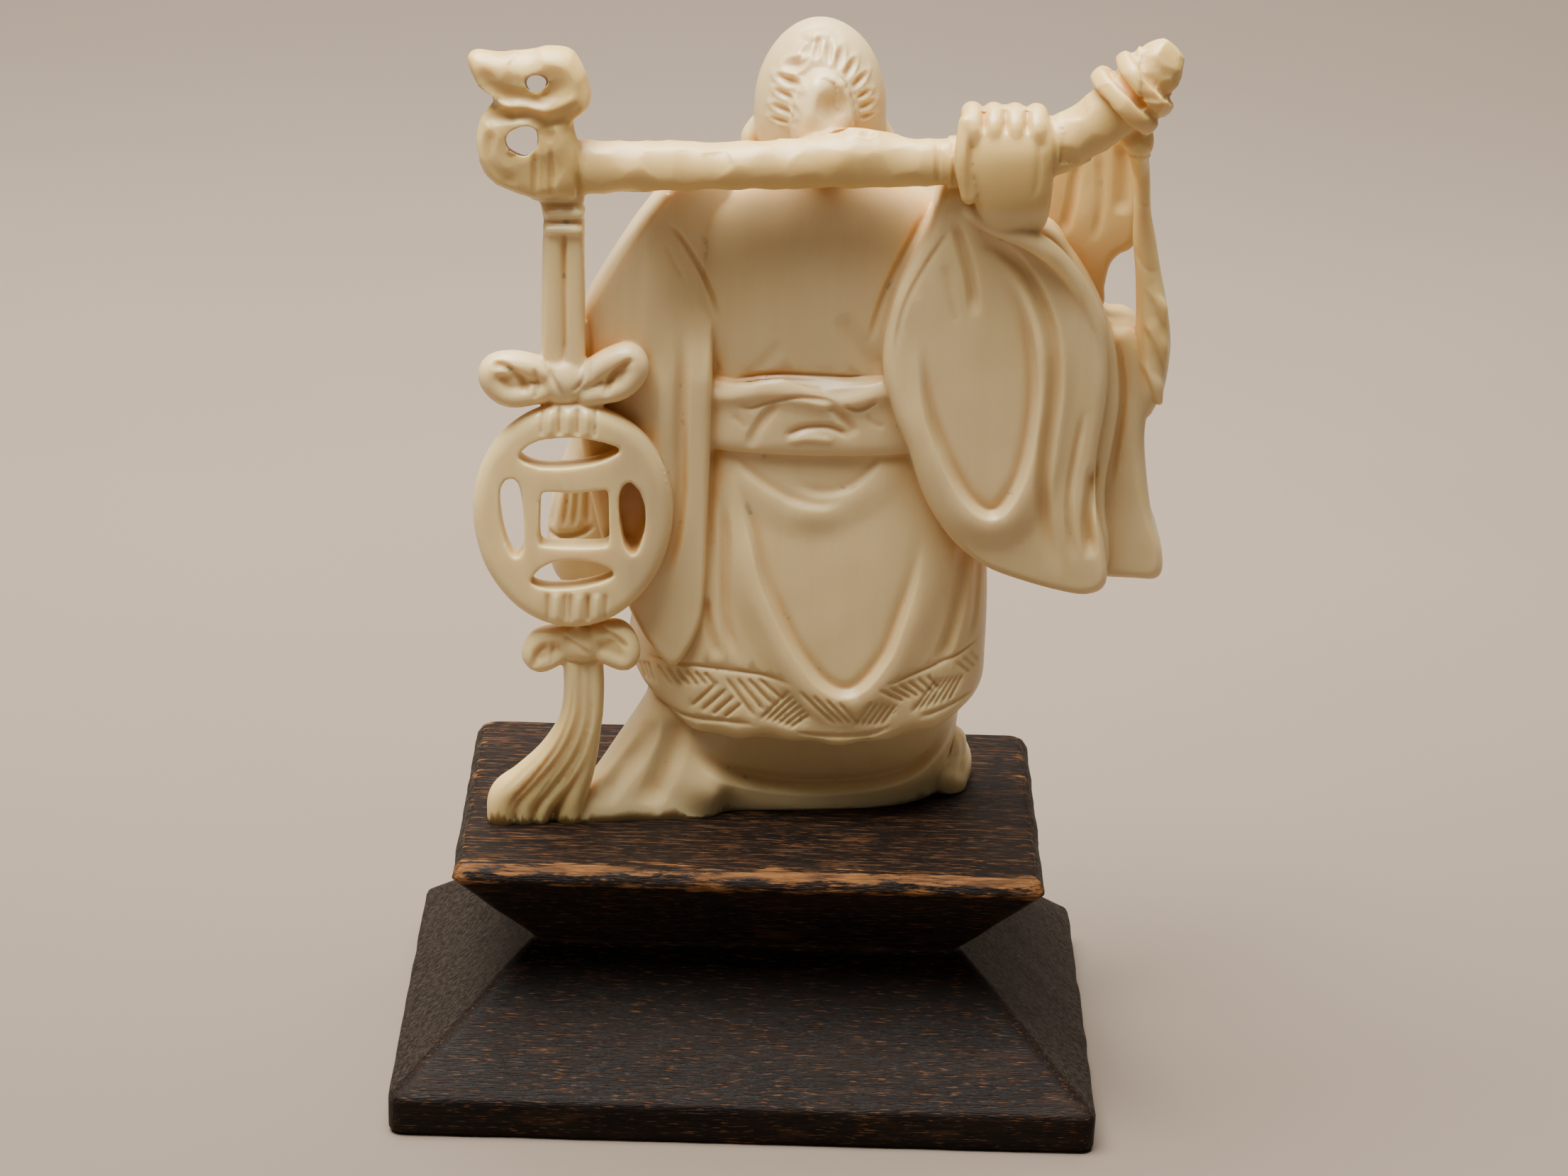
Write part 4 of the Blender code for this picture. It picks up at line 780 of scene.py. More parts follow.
ROOT_CUTS = [
    groove(0.9, 0.36, (-23.6, 90), (-22.9, 88.8), (-21.9, 87.9), (-20.3, 87.5), (-18.6, 87.5), (-17.3, 88.2),
           (-16.6, 89.2)),
    groove(0.55, -0.24, (-22.8, 86.5), (-21.2, 86.8), (-19.7, 86.9), (-18.2, 86.5), (-16.7, 87),
           (-15.1, 88)),
    groove(0.7, 0.4, (-23.6, 85.4), (-21.6, 85.8), (-19.5, 85.9), (-18.3, 85.5), (-17.2, 85.5), (-15, 86.3)),
    groove(0.8, 0.32, (-22.4, 85), (-22.7, 83.4), (-22.4, 81.9), (-21.5, 80.8), (-20, 80.4)),
    groove(0.7, 0.24, (-18.6, 85.2), (-17.9, 84.5), (-17.3, 84.3)),
]
RIBS = [(x, 61.2, 58.5) for x in (-17.5, -16, -14.5)] + [(x, 45, 42) for x in (-16.8, -14.9, -13.4)]

# The leaves and the twisted cord beside the cloth, and the cuff that shows through the coin, lie deeper.
SPRIG_CUTS = [
    lap(0.45, 0.17, (31.4, 71.4), (32.9, 69.4), (33.9, 67.2)),
    lap(0.45, 0.2, (31.4, 68.4), (32.8, 66.2), (34, 63.8)),
    lap(0.45, 0.15, (31.4, 65), (32.6, 62.8), (33.4, 60.4)),
    groove(0.35, 0.14, (30, 79.8), (30.8, 78.6), (31.6, 78)),
    groove(0.35, 0.14, (30.4, 74.6), (31.3, 73.2), (32.6, 72.4)),
]
CUFF_CUTS = [
    groove(0.4, 0.28, (-17.3, 52), (-17.4, 50), (-17.8, 47.2)),
    groove(0.35, 0.25, (-16.3, 52.4), (-16.4, 50), (-16.7, 47.4)),
    groove(0.35, 0.25, (-15.5, 52.4), (-15.6, 50), (-15.8, 47.4)),
    groove(0.4, 0.28, (-14.6, 52.4), (-14.7, 50), (-14.6, 47.6)),
    groove(0.45, 0.5, (-18.6, 47.2), (-17.2, 46.7), (-15.5, 46.9), (-13.9, 47.9)),
]
CLOTH_CUTS = [
    groove(0.7, 0.4, (25.6, 81.6), (25.4, 79.4), (25.2, 77.4), (24.6, 74.4)),
    groove(0.6, 0.22, (27.3, 82), (27.6, 79.4), (27.7, 77), (27.2, 74)),
    groove(0.95, 0.55, (29.1, 83), (29.4, 80.4), (29.5, 78.6), (29.5, 76.4)),
]

FRONT_CUTS = [
    groove(0.6, 0.5, (-1.2, 79.4), (-2.3, 75.5), (-1.9, 71), (-0.4, 66.4)),
    groove(0.35, 0.3, (-2.2, 79.2), (-3.4, 75.5), (-3.1, 71), (-1.8, 66.8)),
    groove(0.6, 0.5, (9.4, 79.4), (10.3, 75.5), (9.4, 70.5), (7, 65), (5.6, 62.2)),
    groove(0.35, 0.3, (10.5, 79), (11.5, 75.5), (10.6, 70.5), (8.4, 65), (7, 62.2)),
    groove(0.35, 0.3, (-10.4, 38.6), (-3, 37.2), (5, 36.6), (12, 37.2), (19.6, 39.4)),
    groove(0.35, 0.3, (-9.8, 34), (-3, 32.6), (5, 32.2), (12, 32.6), (19, 35)),
    groove(1, 0.6, (4.4, 55.8), (3.8, 48), (4, 42), (3.4, 38.2)),
    groove(1, 0.6, (-2.6, 54.6), (-4.2, 48), (-4.8, 42), (-4.4, 39)),
    groove(1, 0.6, (11, 54.8), (12.4, 48), (12.8, 42), (12.2, 38.8)),
    groove(1, 0.6, (-9.4, 66), (-10.6, 60), (-12.6, 54), (-15, 48)),
    groove(0.8, 0.5, (-6, 58.6), (-7.4, 54), (-9.4, 48)),
    groove(1, 0.6, (23.6, 71), (22.8, 64), (23.8, 57), (26.4, 50)),
    groove(1, 0.6, (28.4, 67), (28.2, 60), (29.4, 53), (31.2, 48)),
    groove(0.7, 0.4, (17.4, 62), (17.8, 56), (19.6, 50)),
]

# The hair at the back of the head is a ring of short cuts round the hollow bun. Each cut is its middle, its
# length and width, its slant in degrees and its depth.
HAIR = [
    (1.9, 89.0, 1.9, 1.05, 22, 0.38), (1.45, 87.75, 2.0, 0.9, -8, 0.38), (1.1, 86.6, 1.6, 0.7, -16, 0.31),
    (0.95, 85.4, 1.7, 0.7, -12, 0.31), (0.8, 84.4, 1.6, 0.5, -6, 0.26), (2.75, 90.1, 1.7, 0.6, 50, 0.21),
    (3.7, 90.3, 1.6, 0.65, 80, 0.24), (4.65, 90.1, 1.8, 0.75, 90, 0.31), (5.5, 89.6, 1.7, 0.8, 78, 0.32),
    (6.4, 88.8, 1.7, 0.8, 60, 0.34), (7.2, 87.8, 1.6, 0.75, 40, 0.31), (7.6, 86.7, 1.3, 0.55, 22, 0.26),
    (7.85, 85.8, 1.4, 0.7, 14, 0.27), (7.95, 84.9, 1.3, 0.5, 5, 0.24), (3.6, 91.2, 2.2, 0.7, 8, -0.17),
]
BUN_RIM = [(4.7, 88.6), (5.7, 88.1), (6.4, 86.8), (6.8, 85.4), (6.95, 84.2)]
BUN_HOLLOW = (5.3, 86.1, 1.4, 1.6, 1.5)


def carve(points, normals, cuts, facing, nearest=-1e9, farthest=1e9):
    """Sinks or lifts the skin where a cut passes over it, between two depths. facing is -1 for the back."""
    looks = smooth_step((facing * normals[:, 1] - FACING_LEAST) / FACING_SPAN)
    looks = looks * (points[:, 1] > nearest) * (points[:, 1] < farthest)
    flat = points[:, [0, 2]]
    for kind, width, depth, line in cuts:
        curve = curve_through([(x, 0.0, z) for x, z in line], spacing=CUT_STEP)[:, [0, 2]]
        reach = width * (LAP_REACH if kind == "lap" else 1)
        low, high = curve.min(0) - reach, curve.max(0) + reach
        near = np.flatnonzero(((flat > low) & (flat < high)).all(1) & (looks > 0))
        distance, along = nearest_on(curve, flat[near])
        ends = smooth_step(np.minimum(along, 1 - along) / CUT_FADE)
        if kind == "lap":
            across = distance / width
            rise = smooth_step(across + 0.5) * smooth_step((LAP_REACH - across) / (LAP_REACH - 1))
            # A shallow line runs along the foot of the step.
            shape = rise - 0.35 * np.exp(-3 * (across + 0.6) ** 2)
        else:
            shape = -np.clip(1 - (distance / width) ** 2, 0, 1) ** 2
        points[near, 1] += facing * shape * depth * ends * looks[near]


def dent(points, normals, x, z, length, width, slant, depth):
    """An oval cut in the head's back, whose rim stands up a little."""
    turn = math.radians(slant)
    dx, dz = points[:, 0] - x, points[:, 2] - z
    along = (dx * math.cos(turn) + dz * math.sin(turn)) / (0.5 * length)
    across = (dz * math.cos(turn) - dx * math.sin(turn)) / (0.5 * width)
    reach = np.sqrt(along**2 + across**2)
    shape = np.where(reach < 1, (1 - reach**2) ** 1.5, 0) - 0.3 * np.exp(-(((reach - 1.25) / 0.3) ** 2))
    shape *= (reach < 2.2) * smooth_step((-normals[:, 1] + 0.1) / 0.4) * (points[:, 1] < 0)
    points -= normals * (shape * depth)[:, None]


WAVES = 40


def ripples(points, seed, reach):
    """A soft random field between about -1 and 1, whose waves are reach long."""
    rng = np.random.default_rng(seed)
    field = np.zeros(len(points))
    for _ in range(WAVES):
        direction = unit(rng.normal(size=3)) * rng.uniform(0.7, 1.5) * 2 * math.pi / reach
        field += np.cos(points @ direction + rng.uniform(0, 2 * math.pi))
    return field / math.sqrt(WAVES)


SCOOP_TRIES = 4000


def scoops(points, seed, across, depth):
    """How deep the knife went at each point, where its scoops meet each other in ridges."""
    rng = np.random.default_rng(seed)
    centres = []
    for candidate in points[rng.permutation(len(points))[:SCOOP_TRIES]]:
        if all(np.sum((candidate - centre) ** 2) > (0.75 * across) ** 2 for centre in centres):
            centres.append(candidate)
    lookup = KDTree(len(centres))
    for i, centre in enumerate(centres):
        lookup.insert(centre, i)
    lookup.balance()
    found = [lookup.find(point)[1:] for point in points.tolist()]
    strength = rng.uniform(0.4, 1.0, len(centres))
    nearest = np.array([i for i, _ in found])
    distance = np.array([gap for _, gap in found])
    return depth * strength[nearest] * np.clip(1 - (distance / (0.7 * across)) ** 2, 0, 1)


def arrays_of(mesh):
    count = len(mesh.vertices)
    points, normals = np.empty(count * 3), np.empty(count * 3)
    mesh.vertices.foreach_get("co", points)
    mesh.vertices.foreach_get("normal", normals)
    return points.reshape(-1, 3), normals.reshape(-1, 3)


def write_points(mesh, points):
    mesh.vertices.foreach_set("co", points.ravel())
    mesh.update()


def neighbour_mean(mesh):
    """A function that averages values over each vertex's neighbours."""
    ends = np.empty(len(mesh.edges) * 2, int)
    mesh.edges.foreach_get("vertices", ends)
    ends = ends.reshape(-1, 2)
    here, there = np.concatenate([ends[:, 0], ends[:, 1]]), np.concatenate([ends[:, 1], ends[:, 0]])
    count = len(mesh.vertices)
    number = np.maximum(np.bincount(here, minlength=count), 1)

    def mean(values):
        if values.ndim == 1:
            return np.bincount(here, values[there], minlength=count) / number
        return np.column_stack([mean(values[:, axis]) for axis in range(values.shape[1])])

    return mean


# The cuts that loops place, as half width and depth: a stroke of the hatching, a rib and the groove at each
# side of it, the gap between two fingers, and the ridge round the bun.
STROKE = (0.26, 0.27)
RIB = (0.42, -0.22)
RIB_GROOVE = (0.28, 0.2)
RIB_SIDES = (-0.72, 0.72)
FINGER_GAP = (0.45, 0.6)
FINGER_GAPS_X = (17.25, 19.0, 20.75)
FINGER_GAPS_Z = (88.4, 87, 85.5)
RIM_RIDGE = (0.5, -0.3)

# The depths that a group of cuts keeps to, where other forms lie nearer or farther than its own.
GARMENTS_NEAREST = -7.9
CLOTH_NEAREST = -2.2
SPRIG_NEAREST, SPRIG_FARTHEST = -5.6, -2.0
CUFF_NEAREST, CUFF_FARTHEST = -3.0, 2.5

# Knife scoops on the staff and on its bound tip, as seed, width and depth, and how uneven the whole skin is.
STAFF_SCOOPS = (5, 2.5, 0.26)
TIP_SCOOPS = (8, 2.8, 0.35)
SKIN_UNEVENNESS = 0.018


def cut_garments(mesh):
    points, normals = arrays_of(mesh)
    carve(points, normals, GARMENT_CUTS, -1, nearest=GARMENTS_NEAREST)
    carve(points, normals, HEM_LINES, -1)
    strokes = []
    for number, first, last in HATCHING:
        for share in np.linspace(0, 1, number):
            ends = [tuple(np.array(a) * (1 - share) + np.array(b) * share) for a, b in zip(first, last)]
            strokes.append(groove(*STROKE, *ends))
    carve(points, normals, strokes, -1)
    write_points(mesh, points)


def cut_carried(mesh):
    points, normals = arrays_of(mesh)
    carve(points, normals, CARRIED_CUTS, -1, farthest=CARRIED_DEPTH)
    ribs = []
    for x, top, bottom in RIBS:
        ribs.append(groove(*RIB, (x, top), (x, bottom)))
        ribs += [groove(*RIB_GROOVE, (x + side, top), (x + side, bottom)) for side in RIB_SIDES]
    carve(points, normals, ribs, -1, farthest=CARRIED_DEPTH)
    between = [groove(*FINGER_GAP, *[(x, z) for z in FINGER_GAPS_Z]) for x in FINGER_GAPS_X]
    carve(points, normals, between, -1, farthest=CARRIED_DEPTH)
    carve(points, normals, ROOT_CUTS, -1, farthest=CARRIED_DEPTH)
    carve(points, normals, CLOTH_CUTS, -1, nearest=CLOTH_NEAREST)
    carve(points, normals, SPRIG_CUTS, -1, nearest=SPRIG_NEAREST, farthest=SPRIG_FARTHEST)
    carve(points, normals, CUFF_CUTS, -1, nearest=CUFF_NEAREST, farthest=CUFF_FARTHEST)
    carve(points, normals, FRONT_CUTS, 1)
    write_points(mesh, points)


def cut_head(mesh):
    """Works on the back of the head only."""
    points, normals = arrays_of(mesh)
    head_part = (points[:, 2] > 82.5) & (np.abs(points[:, 0] - 4.5) < 5) & (points[:, 1] < 0.5)
    at = np.flatnonzero(head_part)
    local, facing_out = points[at], normals[at]
    for cut in HAIR:
        dent(local, facing_out, *cut)
    carve(local, facing_out, [groove(*RIM_RIDGE, *BUN_RIM)], -1)
    x, z, half_width, half_height, depth = BUN_HOLLOW
    bowl = np.exp(-((local[:, 0] - x) / half_width) ** 2 - ((local[:, 2] - z) / half_height) ** 2)
    local[:, 1] += depth * bowl * smooth_step((-facing_out[:, 1] + 0.1) / 0.4) * (local[:, 1] < -3.5)
    points[at] = local
    write_points(mesh, points)


def leave_knife_marks(mesh):
    """The staff and the root keep the knife's small scoops. The rest is polished, only a little uneven."""
    points, normals = arrays_of(mesh)
    x, y, z = points.T
    in_front = y < -4.4
    root_side = (z > 78.6) & (x < 14.6)
    bound_side = (z > 83.0) & (x > 23.6)
    staff_part = in_front & (root_side | bound_side)
    tip = in_front & (x > 29.6) & (z > 88.6)
    rough = SKIN_UNEVENNESS * ripples(points, 3, 5.0)
    rough[staff_part] -= scoops(points[staff_part], *STAFF_SCOOPS)
    rough[tip] -= scoops(points[tip], *TIP_SCOOPS)
    points += normals * rough[:, None]
    write_points(mesh, points)


def cut_level(mesh):
    """Cuts the fused skin off level at the wood."""
    solid = bmesh.new()
    solid.from_mesh(mesh)
    everything = solid.verts[:] + solid.edges[:] + solid.faces[:]
    level = Vector((0, 0, FIGURE_FLOOR))
    bmesh.ops.bisect_plane(solid, geom=everything, plane_co=level, plane_no=(0, 0, -1), clear_outer=True)
    bmesh.ops.holes_fill(solid, edges=[edge for edge in solid.edges if edge.is_boundary])
    bmesh.ops.triangulate(solid, faces=[face for face in solid.faces if len(face.verts) > 4])
    solid.to_mesh(mesh)
    solid.free()


# Smoothing passes for the surroundings of a fine cut and of a broad fold, and the depths at which they count
# in full.
NEAR_PASSES = 14
WIDE_PASSES = 60
FINE_DEPTH = 0.1
BROAD_DEPTH = 0.3


def hollows(mesh):
    """How far each point lies below its smoothed surroundings, near and wide."""
    points, normals = arrays_of(mesh)
    mean = neighbour_mean(mesh)
    smooth = points
    depths = []
    for passes in (NEAR_PASSES, WIDE_PASSES):
        for _ in range(passes):
            smooth = mean(smooth)
        depths.append(((smooth - points) * normals).sum(1))
    return points, depths


# Rays start a little off the skin and are followed this far. A golden angle turns each one from the last, and
# a random angle up to the spread makes them differ from point to point.
SKIN_GAP = 0.05
SIGHT_RAYS = 14
SIGHT_REACH = 6.0
THICK_REACH = 8.0
GOLDEN_ANGLE = 2.4
ANGLE_SPREAD = 0.3


def openness(mesh, tree):
    """The share of directions in which a point sees out, from 0 in a deep gap to 1 in the open."""
    points, normals = arrays_of(mesh)
    rng = np.random.default_rng(11)
    first = unit(np.cross(normals, np.where(np.abs(normals[:, :1]) < 0.8, (1.0, 0, 0), (0, 1.0, 0))))
    second = np.cross(normals, first)
    origins = [Vector(point) for point in (points + SKIN_GAP * normals).tolist()]
    seen = np.zeros(len(points))
    for ray in range(SIGHT_RAYS):
        lift = math.sqrt((ray + 0.5) / SIGHT_RAYS)
        turn = rng.uniform(0, 2 * math.pi) + ray * GOLDEN_ANGLE
        turns = turn + rng.uniform(-ANGLE_SPREAD, ANGLE_SPREAD, len(points))
        flat = math.sqrt(1 - lift**2)
        ways = normals * lift + flat * (np.cos(turns)[:, None] * first + np.sin(turns)[:, None] * second)
        for i, (origin, way) in enumerate(zip(origins, ways.tolist())):
            if tree.ray_cast(origin, way, SIGHT_REACH)[0] is None:
                seen[i] += 1
    return seen / SIGHT_RAYS


def thickness(mesh, tree):
    """How much ivory lies behind each point, as a share of THICK_REACH."""
    points, normals = arrays_of(mesh)
    depths = np.full(len(points), THICK_REACH)
    starts = (points - SKIN_GAP * normals).tolist()
    for i, (point, inward) in enumerate(zip(starts, (-normals).tolist())):
        reached = tree.ray_cast(point, inward, THICK_REACH)[3]
        if reached is not None:
            depths[i] = reached
    return depths / THICK_REACH


def blurred(values, mean, passes, share):
    """The values, drawn towards their neighbours' mean by a share in each pass."""
    for _ in range(passes):
        values = (1 - share) * values + share * mean(values)
    return values


def add_attribute(mesh, name, values):
    layer = mesh.attributes.new(name, "FLOAT", "POINT")
    layer.data.foreach_set("value", np.clip(values, 0, 1).astype(np.float32))


def yellowed(points):
    """How far the ivory has yellowed, 0 to 1: most on the staff with its ends and the hand."""
    x, y, z = points.T
    staff_side = np.maximum(smooth_step((np.abs(x - 4.5) - 5.5) / 3), smooth_step(-y - 5.5))
    carried = smooth_step((z - 78.5) / 1.5) * staff_side
    hung = smooth_step((x - 21) / 4) * smooth_step((z - 60) / 8) * smooth_step((y + 5.5) / 1.5)
    fallen = smooth_step((37 - z) / 4) * smooth_step((-x - 13) / 2)
    return np.clip(carried + 0.8 * hung + 0.6 * fallen, 0, 1)


def with_fewer_faces(mesh):
    work = linked("work", mesh)
    fewer = work.modifiers.new("fewer faces", "DECIMATE")
    triangles = sum(len(face.vertices) - 2 for face in mesh.polygons)
    fewer.ratio = min(1.0, FIGURE_TRIANGLES / triangles)
    graph = bpy.context.evaluated_depsgraph_get()
    reduced = bpy.data.meshes.new_from_object(work.evaluated_get(graph))
    bpy.data.objects.remove(work)
    return reduced


def write_measures(mesh, fine_points, near, wide):
    """Keeps on each vertex what the material asks of its place. near and wide come from hollows."""
    lookup = KDTree(len(fine_points))
    for i, point in enumerate(fine_points.tolist()):
        lookup.insert(point, i)
    lookup.balance()
    points, _ = arrays_of(mesh)
    match = np.array([lookup.find(point)[1] for point in points.tolist()])
    tree = BVHTree.FromPolygons(points.tolist(), [tuple(face.vertices) for face in mesh.polygons])
    mean = neighbour_mean(mesh)
    closed_in = blurred(1 - openness(mesh, tree), mean, 3, 0.5)
    behind = blurred(thickness(mesh, tree), mean, 8, 0.6)
    add_attribute(mesh, "cut", smooth_step(near[match] / FINE_DEPTH))
    add_attribute(mesh, "fold", smooth_step(wide[match] / BROAD_DEPTH))
    add_attribute(mesh, "high", smooth_step(-wide[match] / BROAD_DEPTH))
    add_attribute(mesh, "closed_in", closed_in)
    add_attribute(mesh, "thin", 1 - behind)
    add_attribute(mesh, "yellowed", yellowed(points))


def figure(material):
    forms = [under_robe(), robe(), sash()]
    forms += left_sleeve() + right_sleeve() + shoes() + head() + raised_hand() + lowered_hand()
    forms += staff() + root_head() + cord_bindings() + bows() + coin() + tassel() + hanging_cloth()
    mesh = fused(joined("forms", forms))
    for stage in (cut_garments, cut_carried, cut_head, leave_knife_marks, cut_level):
        stage(mesh)
    fine_points, (near, wide) = hollows(mesh)
    carved = with_fewer_faces(mesh)
    write_measures(carved, fine_points, near, wide)
    points, _ = arrays_of(carved)
    write_points(carved, points * MM)
    carved.materials.clear()
    carved.materials.append(material)
    carved.shade_smooth()
    return linked("carved_figure", carved)


# The plinth


# The radius of the plinth's corners seen from above, and the inset at which one face closes its underside and
# another its top.
CORNER_RADIUS = 1.2
INNERMOST = 20.5
# How finely it is divided: along its profile, under its foot, along its sides and round a corner.
PROFILE_STEP = 0.45
UNDERSIDE_STEP = 2.0
WIDE_STEPS = 110
DEEP_STEPS = 80
CORNER_STEPS = 5

# Each line is its level, inset and reach, and how strongly the back, the two sides and the far edge are worn.
WEAR_LINES = [
    (PLINTH_HEIGHT, RIM_INSET + SLAB_BEVEL, 0.85, (1.0, 0.42, 0.34)),
    (PLINTH_HEIGHT - SLAB_BEVEL_HEIGHT, RIM_INSET, 0.5, (0.66, 0.28, 0.25)),
    (FOOT_BAND, 0.0, 0.35, (0.16, 0.16, 0.16)),
    (0.0, 0.0, 0.6, (0.44, 0.3, 0.3)),
]


def plinth_profile():
    """Heights and insets from under the foot, out and up round its side, and in over the top."""
    waist = FOOT_BAND + FOOT_SLOPE_HEIGHT
    slab = PLINTH_HEIGHT - SLAB_BEVEL_HEIGHT
    top_inset = RIM_INSET + SLAB_BEVEL
    corners = [
        (0.0, INNERMOST), (0.0, 0.5), (0.15, 0.15), (0.5, 0.0), (FOOT_BAND - 0.35, 0.0), (FOOT_BAND, 0.15),
        (FOOT_BAND + 0.3, 0.5), (waist - 0.15, WAIST_INSET - 0.25), (waist + 0.15, WAIST_INSET - 0.2),
        (slab - 0.3, RIM_INSET + 0.3), (slab, RIM_INSET + 0.04), (slab + 0.35, RIM_INSET + 0.12),
        (PLINTH_HEIGHT - 0.3, top_inset - 0.3), (PLINTH_HEIGHT - 0.06, top_inset),
        (PLINTH_HEIGHT, top_inset + 0.4), (PLINTH_HEIGHT, INNERMOST)]
    dense = [corners[0]]
    for (z0, in0), (z1, in1) in zip(corners[:-1], corners[1:]):
        length = math.hypot(z1 - z0, in1 - in0)
        under = z0 == 0.0 and z1 == 0.0
        steps = max(1, math.ceil(length / (UNDERSIDE_STEP if under else PROFILE_STEP)))
        dense += [(z0 + (z1 - z0) * k / steps, in0 + (in1 - in0) * k / steps) for k in range(1, steps + 1)]
    return dense


def half_sizes(inset):
    return 0.5 * FOOT_WIDTH - inset, 0.5 * FOOT_DEPTH - inset


def plinth_ring(height, inset):
    """A level outline of the plinth, with rounded corners."""
    half_x, half_y = half_sizes(inset)
    radius = min(CORNER_RADIUS, 0.45 * half_y)
    signs = ((1, -1), (1, 1), (-1, 1), (-1, -1))
    centres = [(sx * (half_x - radius), sy * (half_y - radius)) for sx, sy in signs]

    def on_corner(centre, degrees):
        angle = math.radians(degrees)
        return centre[0] + radius * math.cos(angle), centre[1] + radius * math.sin(angle), height

    ring = []
    for turn, centre in enumerate(centres):
        for k in range(CORNER_STEPS + 1):
            ring.append(on_corner(centre, -90 + 90 * turn + 90 * k / CORNER_STEPS))
        start, end = ring[-1], on_corner(centres[(turn + 1) % 4], 90 * turn)
        steps = DEEP_STEPS if turn % 2 == 0 else WIDE_STEPS
        ring += [tuple(a + (b - a) * k / steps for a, b in zip(start, end)) for k in range(1, steps)]
    return ring


# Wear on the top, as strength and reach: from its back edge, from its two sides, and round its corners, where
# it goes down the sides as far as the drop.
BACK_RUB, BACK_REACH = 0.5, 3.4
SIDE_RUB, SIDE_REACH = 0.16, 1.4
CORNER_RUB, CORNER_REACH, CORNER_DROP = 0.8, 2.0, 2.4

# The height and length of the waves in the plinth's faces, and those of the dips where it is worn.
SWELL, SWELL_LENGTH = 0.05, 6.0
DIP, DIP_LENGTH = 0.12, 1.6


def plinth_wear(points):
    """How bare the wood is at each point: along its edges, near them on its top and at the slab's corners."""
    x, y, z = points.T
    wear = np.zeros(len(points))
    for level, inset, reach, (back, side, far) in WEAR_LINES:
        half_x, half_y = half_sizes(inset)
        for strength, gap in ((back, y + half_y), (far, y - half_y), (side, np.abs(x) - half_x)):
            wear = np.maximum(wear, strength * np.exp(-(gap**2 + (z - level) ** 2) / reach**2))
    half_x, half_y = half_sizes(RIM_INSET)
    on_top = z > PLINTH_HEIGHT - 0.2
    rubbed = BACK_RUB * np.exp(-(y + half_y) / BACK_REACH)
    rubbed = rubbed + SIDE_RUB * np.exp(-(half_x - np.abs(x)) / SIDE_REACH)
    wear = np.maximum(wear, on_top * np.clip(rubbed, 0, BACK_RUB))
    corners = np.exp(-((np.abs(x) - half_x) ** 2 + (np.abs(y) - half_y) ** 2) / CORNER_REACH**2)
    return np.maximum(wear, CORNER_RUB * corners * (z > PLINTH_HEIGHT - CORNER_DROP))


def plinth(material):
    rings = [plinth_ring(height, inset) for height, inset in plinth_profile()]
    points, faces = skin(np.array(rings))
    wear = plinth_wear(points)

    # Its faces are a little uneven, and worn places are rubbed away. The underside and the top stay flat.
    x, y, z = points.T
    outward = unit(np.column_stack([x / (0.5 * FOOT_WIDTH), y / (0.5 * FOOT_DEPTH), np.zeros(len(points))]))
    sides = (z > 0.05) & (z < PLINTH_HEIGHT - 0.01)
    swell = SWELL * ripples(points, 21, SWELL_LENGTH)
    dips = DIP * np.clip(wear, 0, 1) * (0.6 + 0.5 * ripples(points, 22, DIP_LENGTH))
    points += outward * ((swell - dips) * sides)[:, None]

    mesh = bpy.data.meshes.new("worn_plinth")
    mesh.from_pydata((points * MM).tolist(), [], faces)
    mesh.update()
    add_attribute(mesh, "wear", wear)
    mesh.materials.append(material)
    mesh.shade_smooth()
    return linked("worn_plinth", mesh)


# Materials


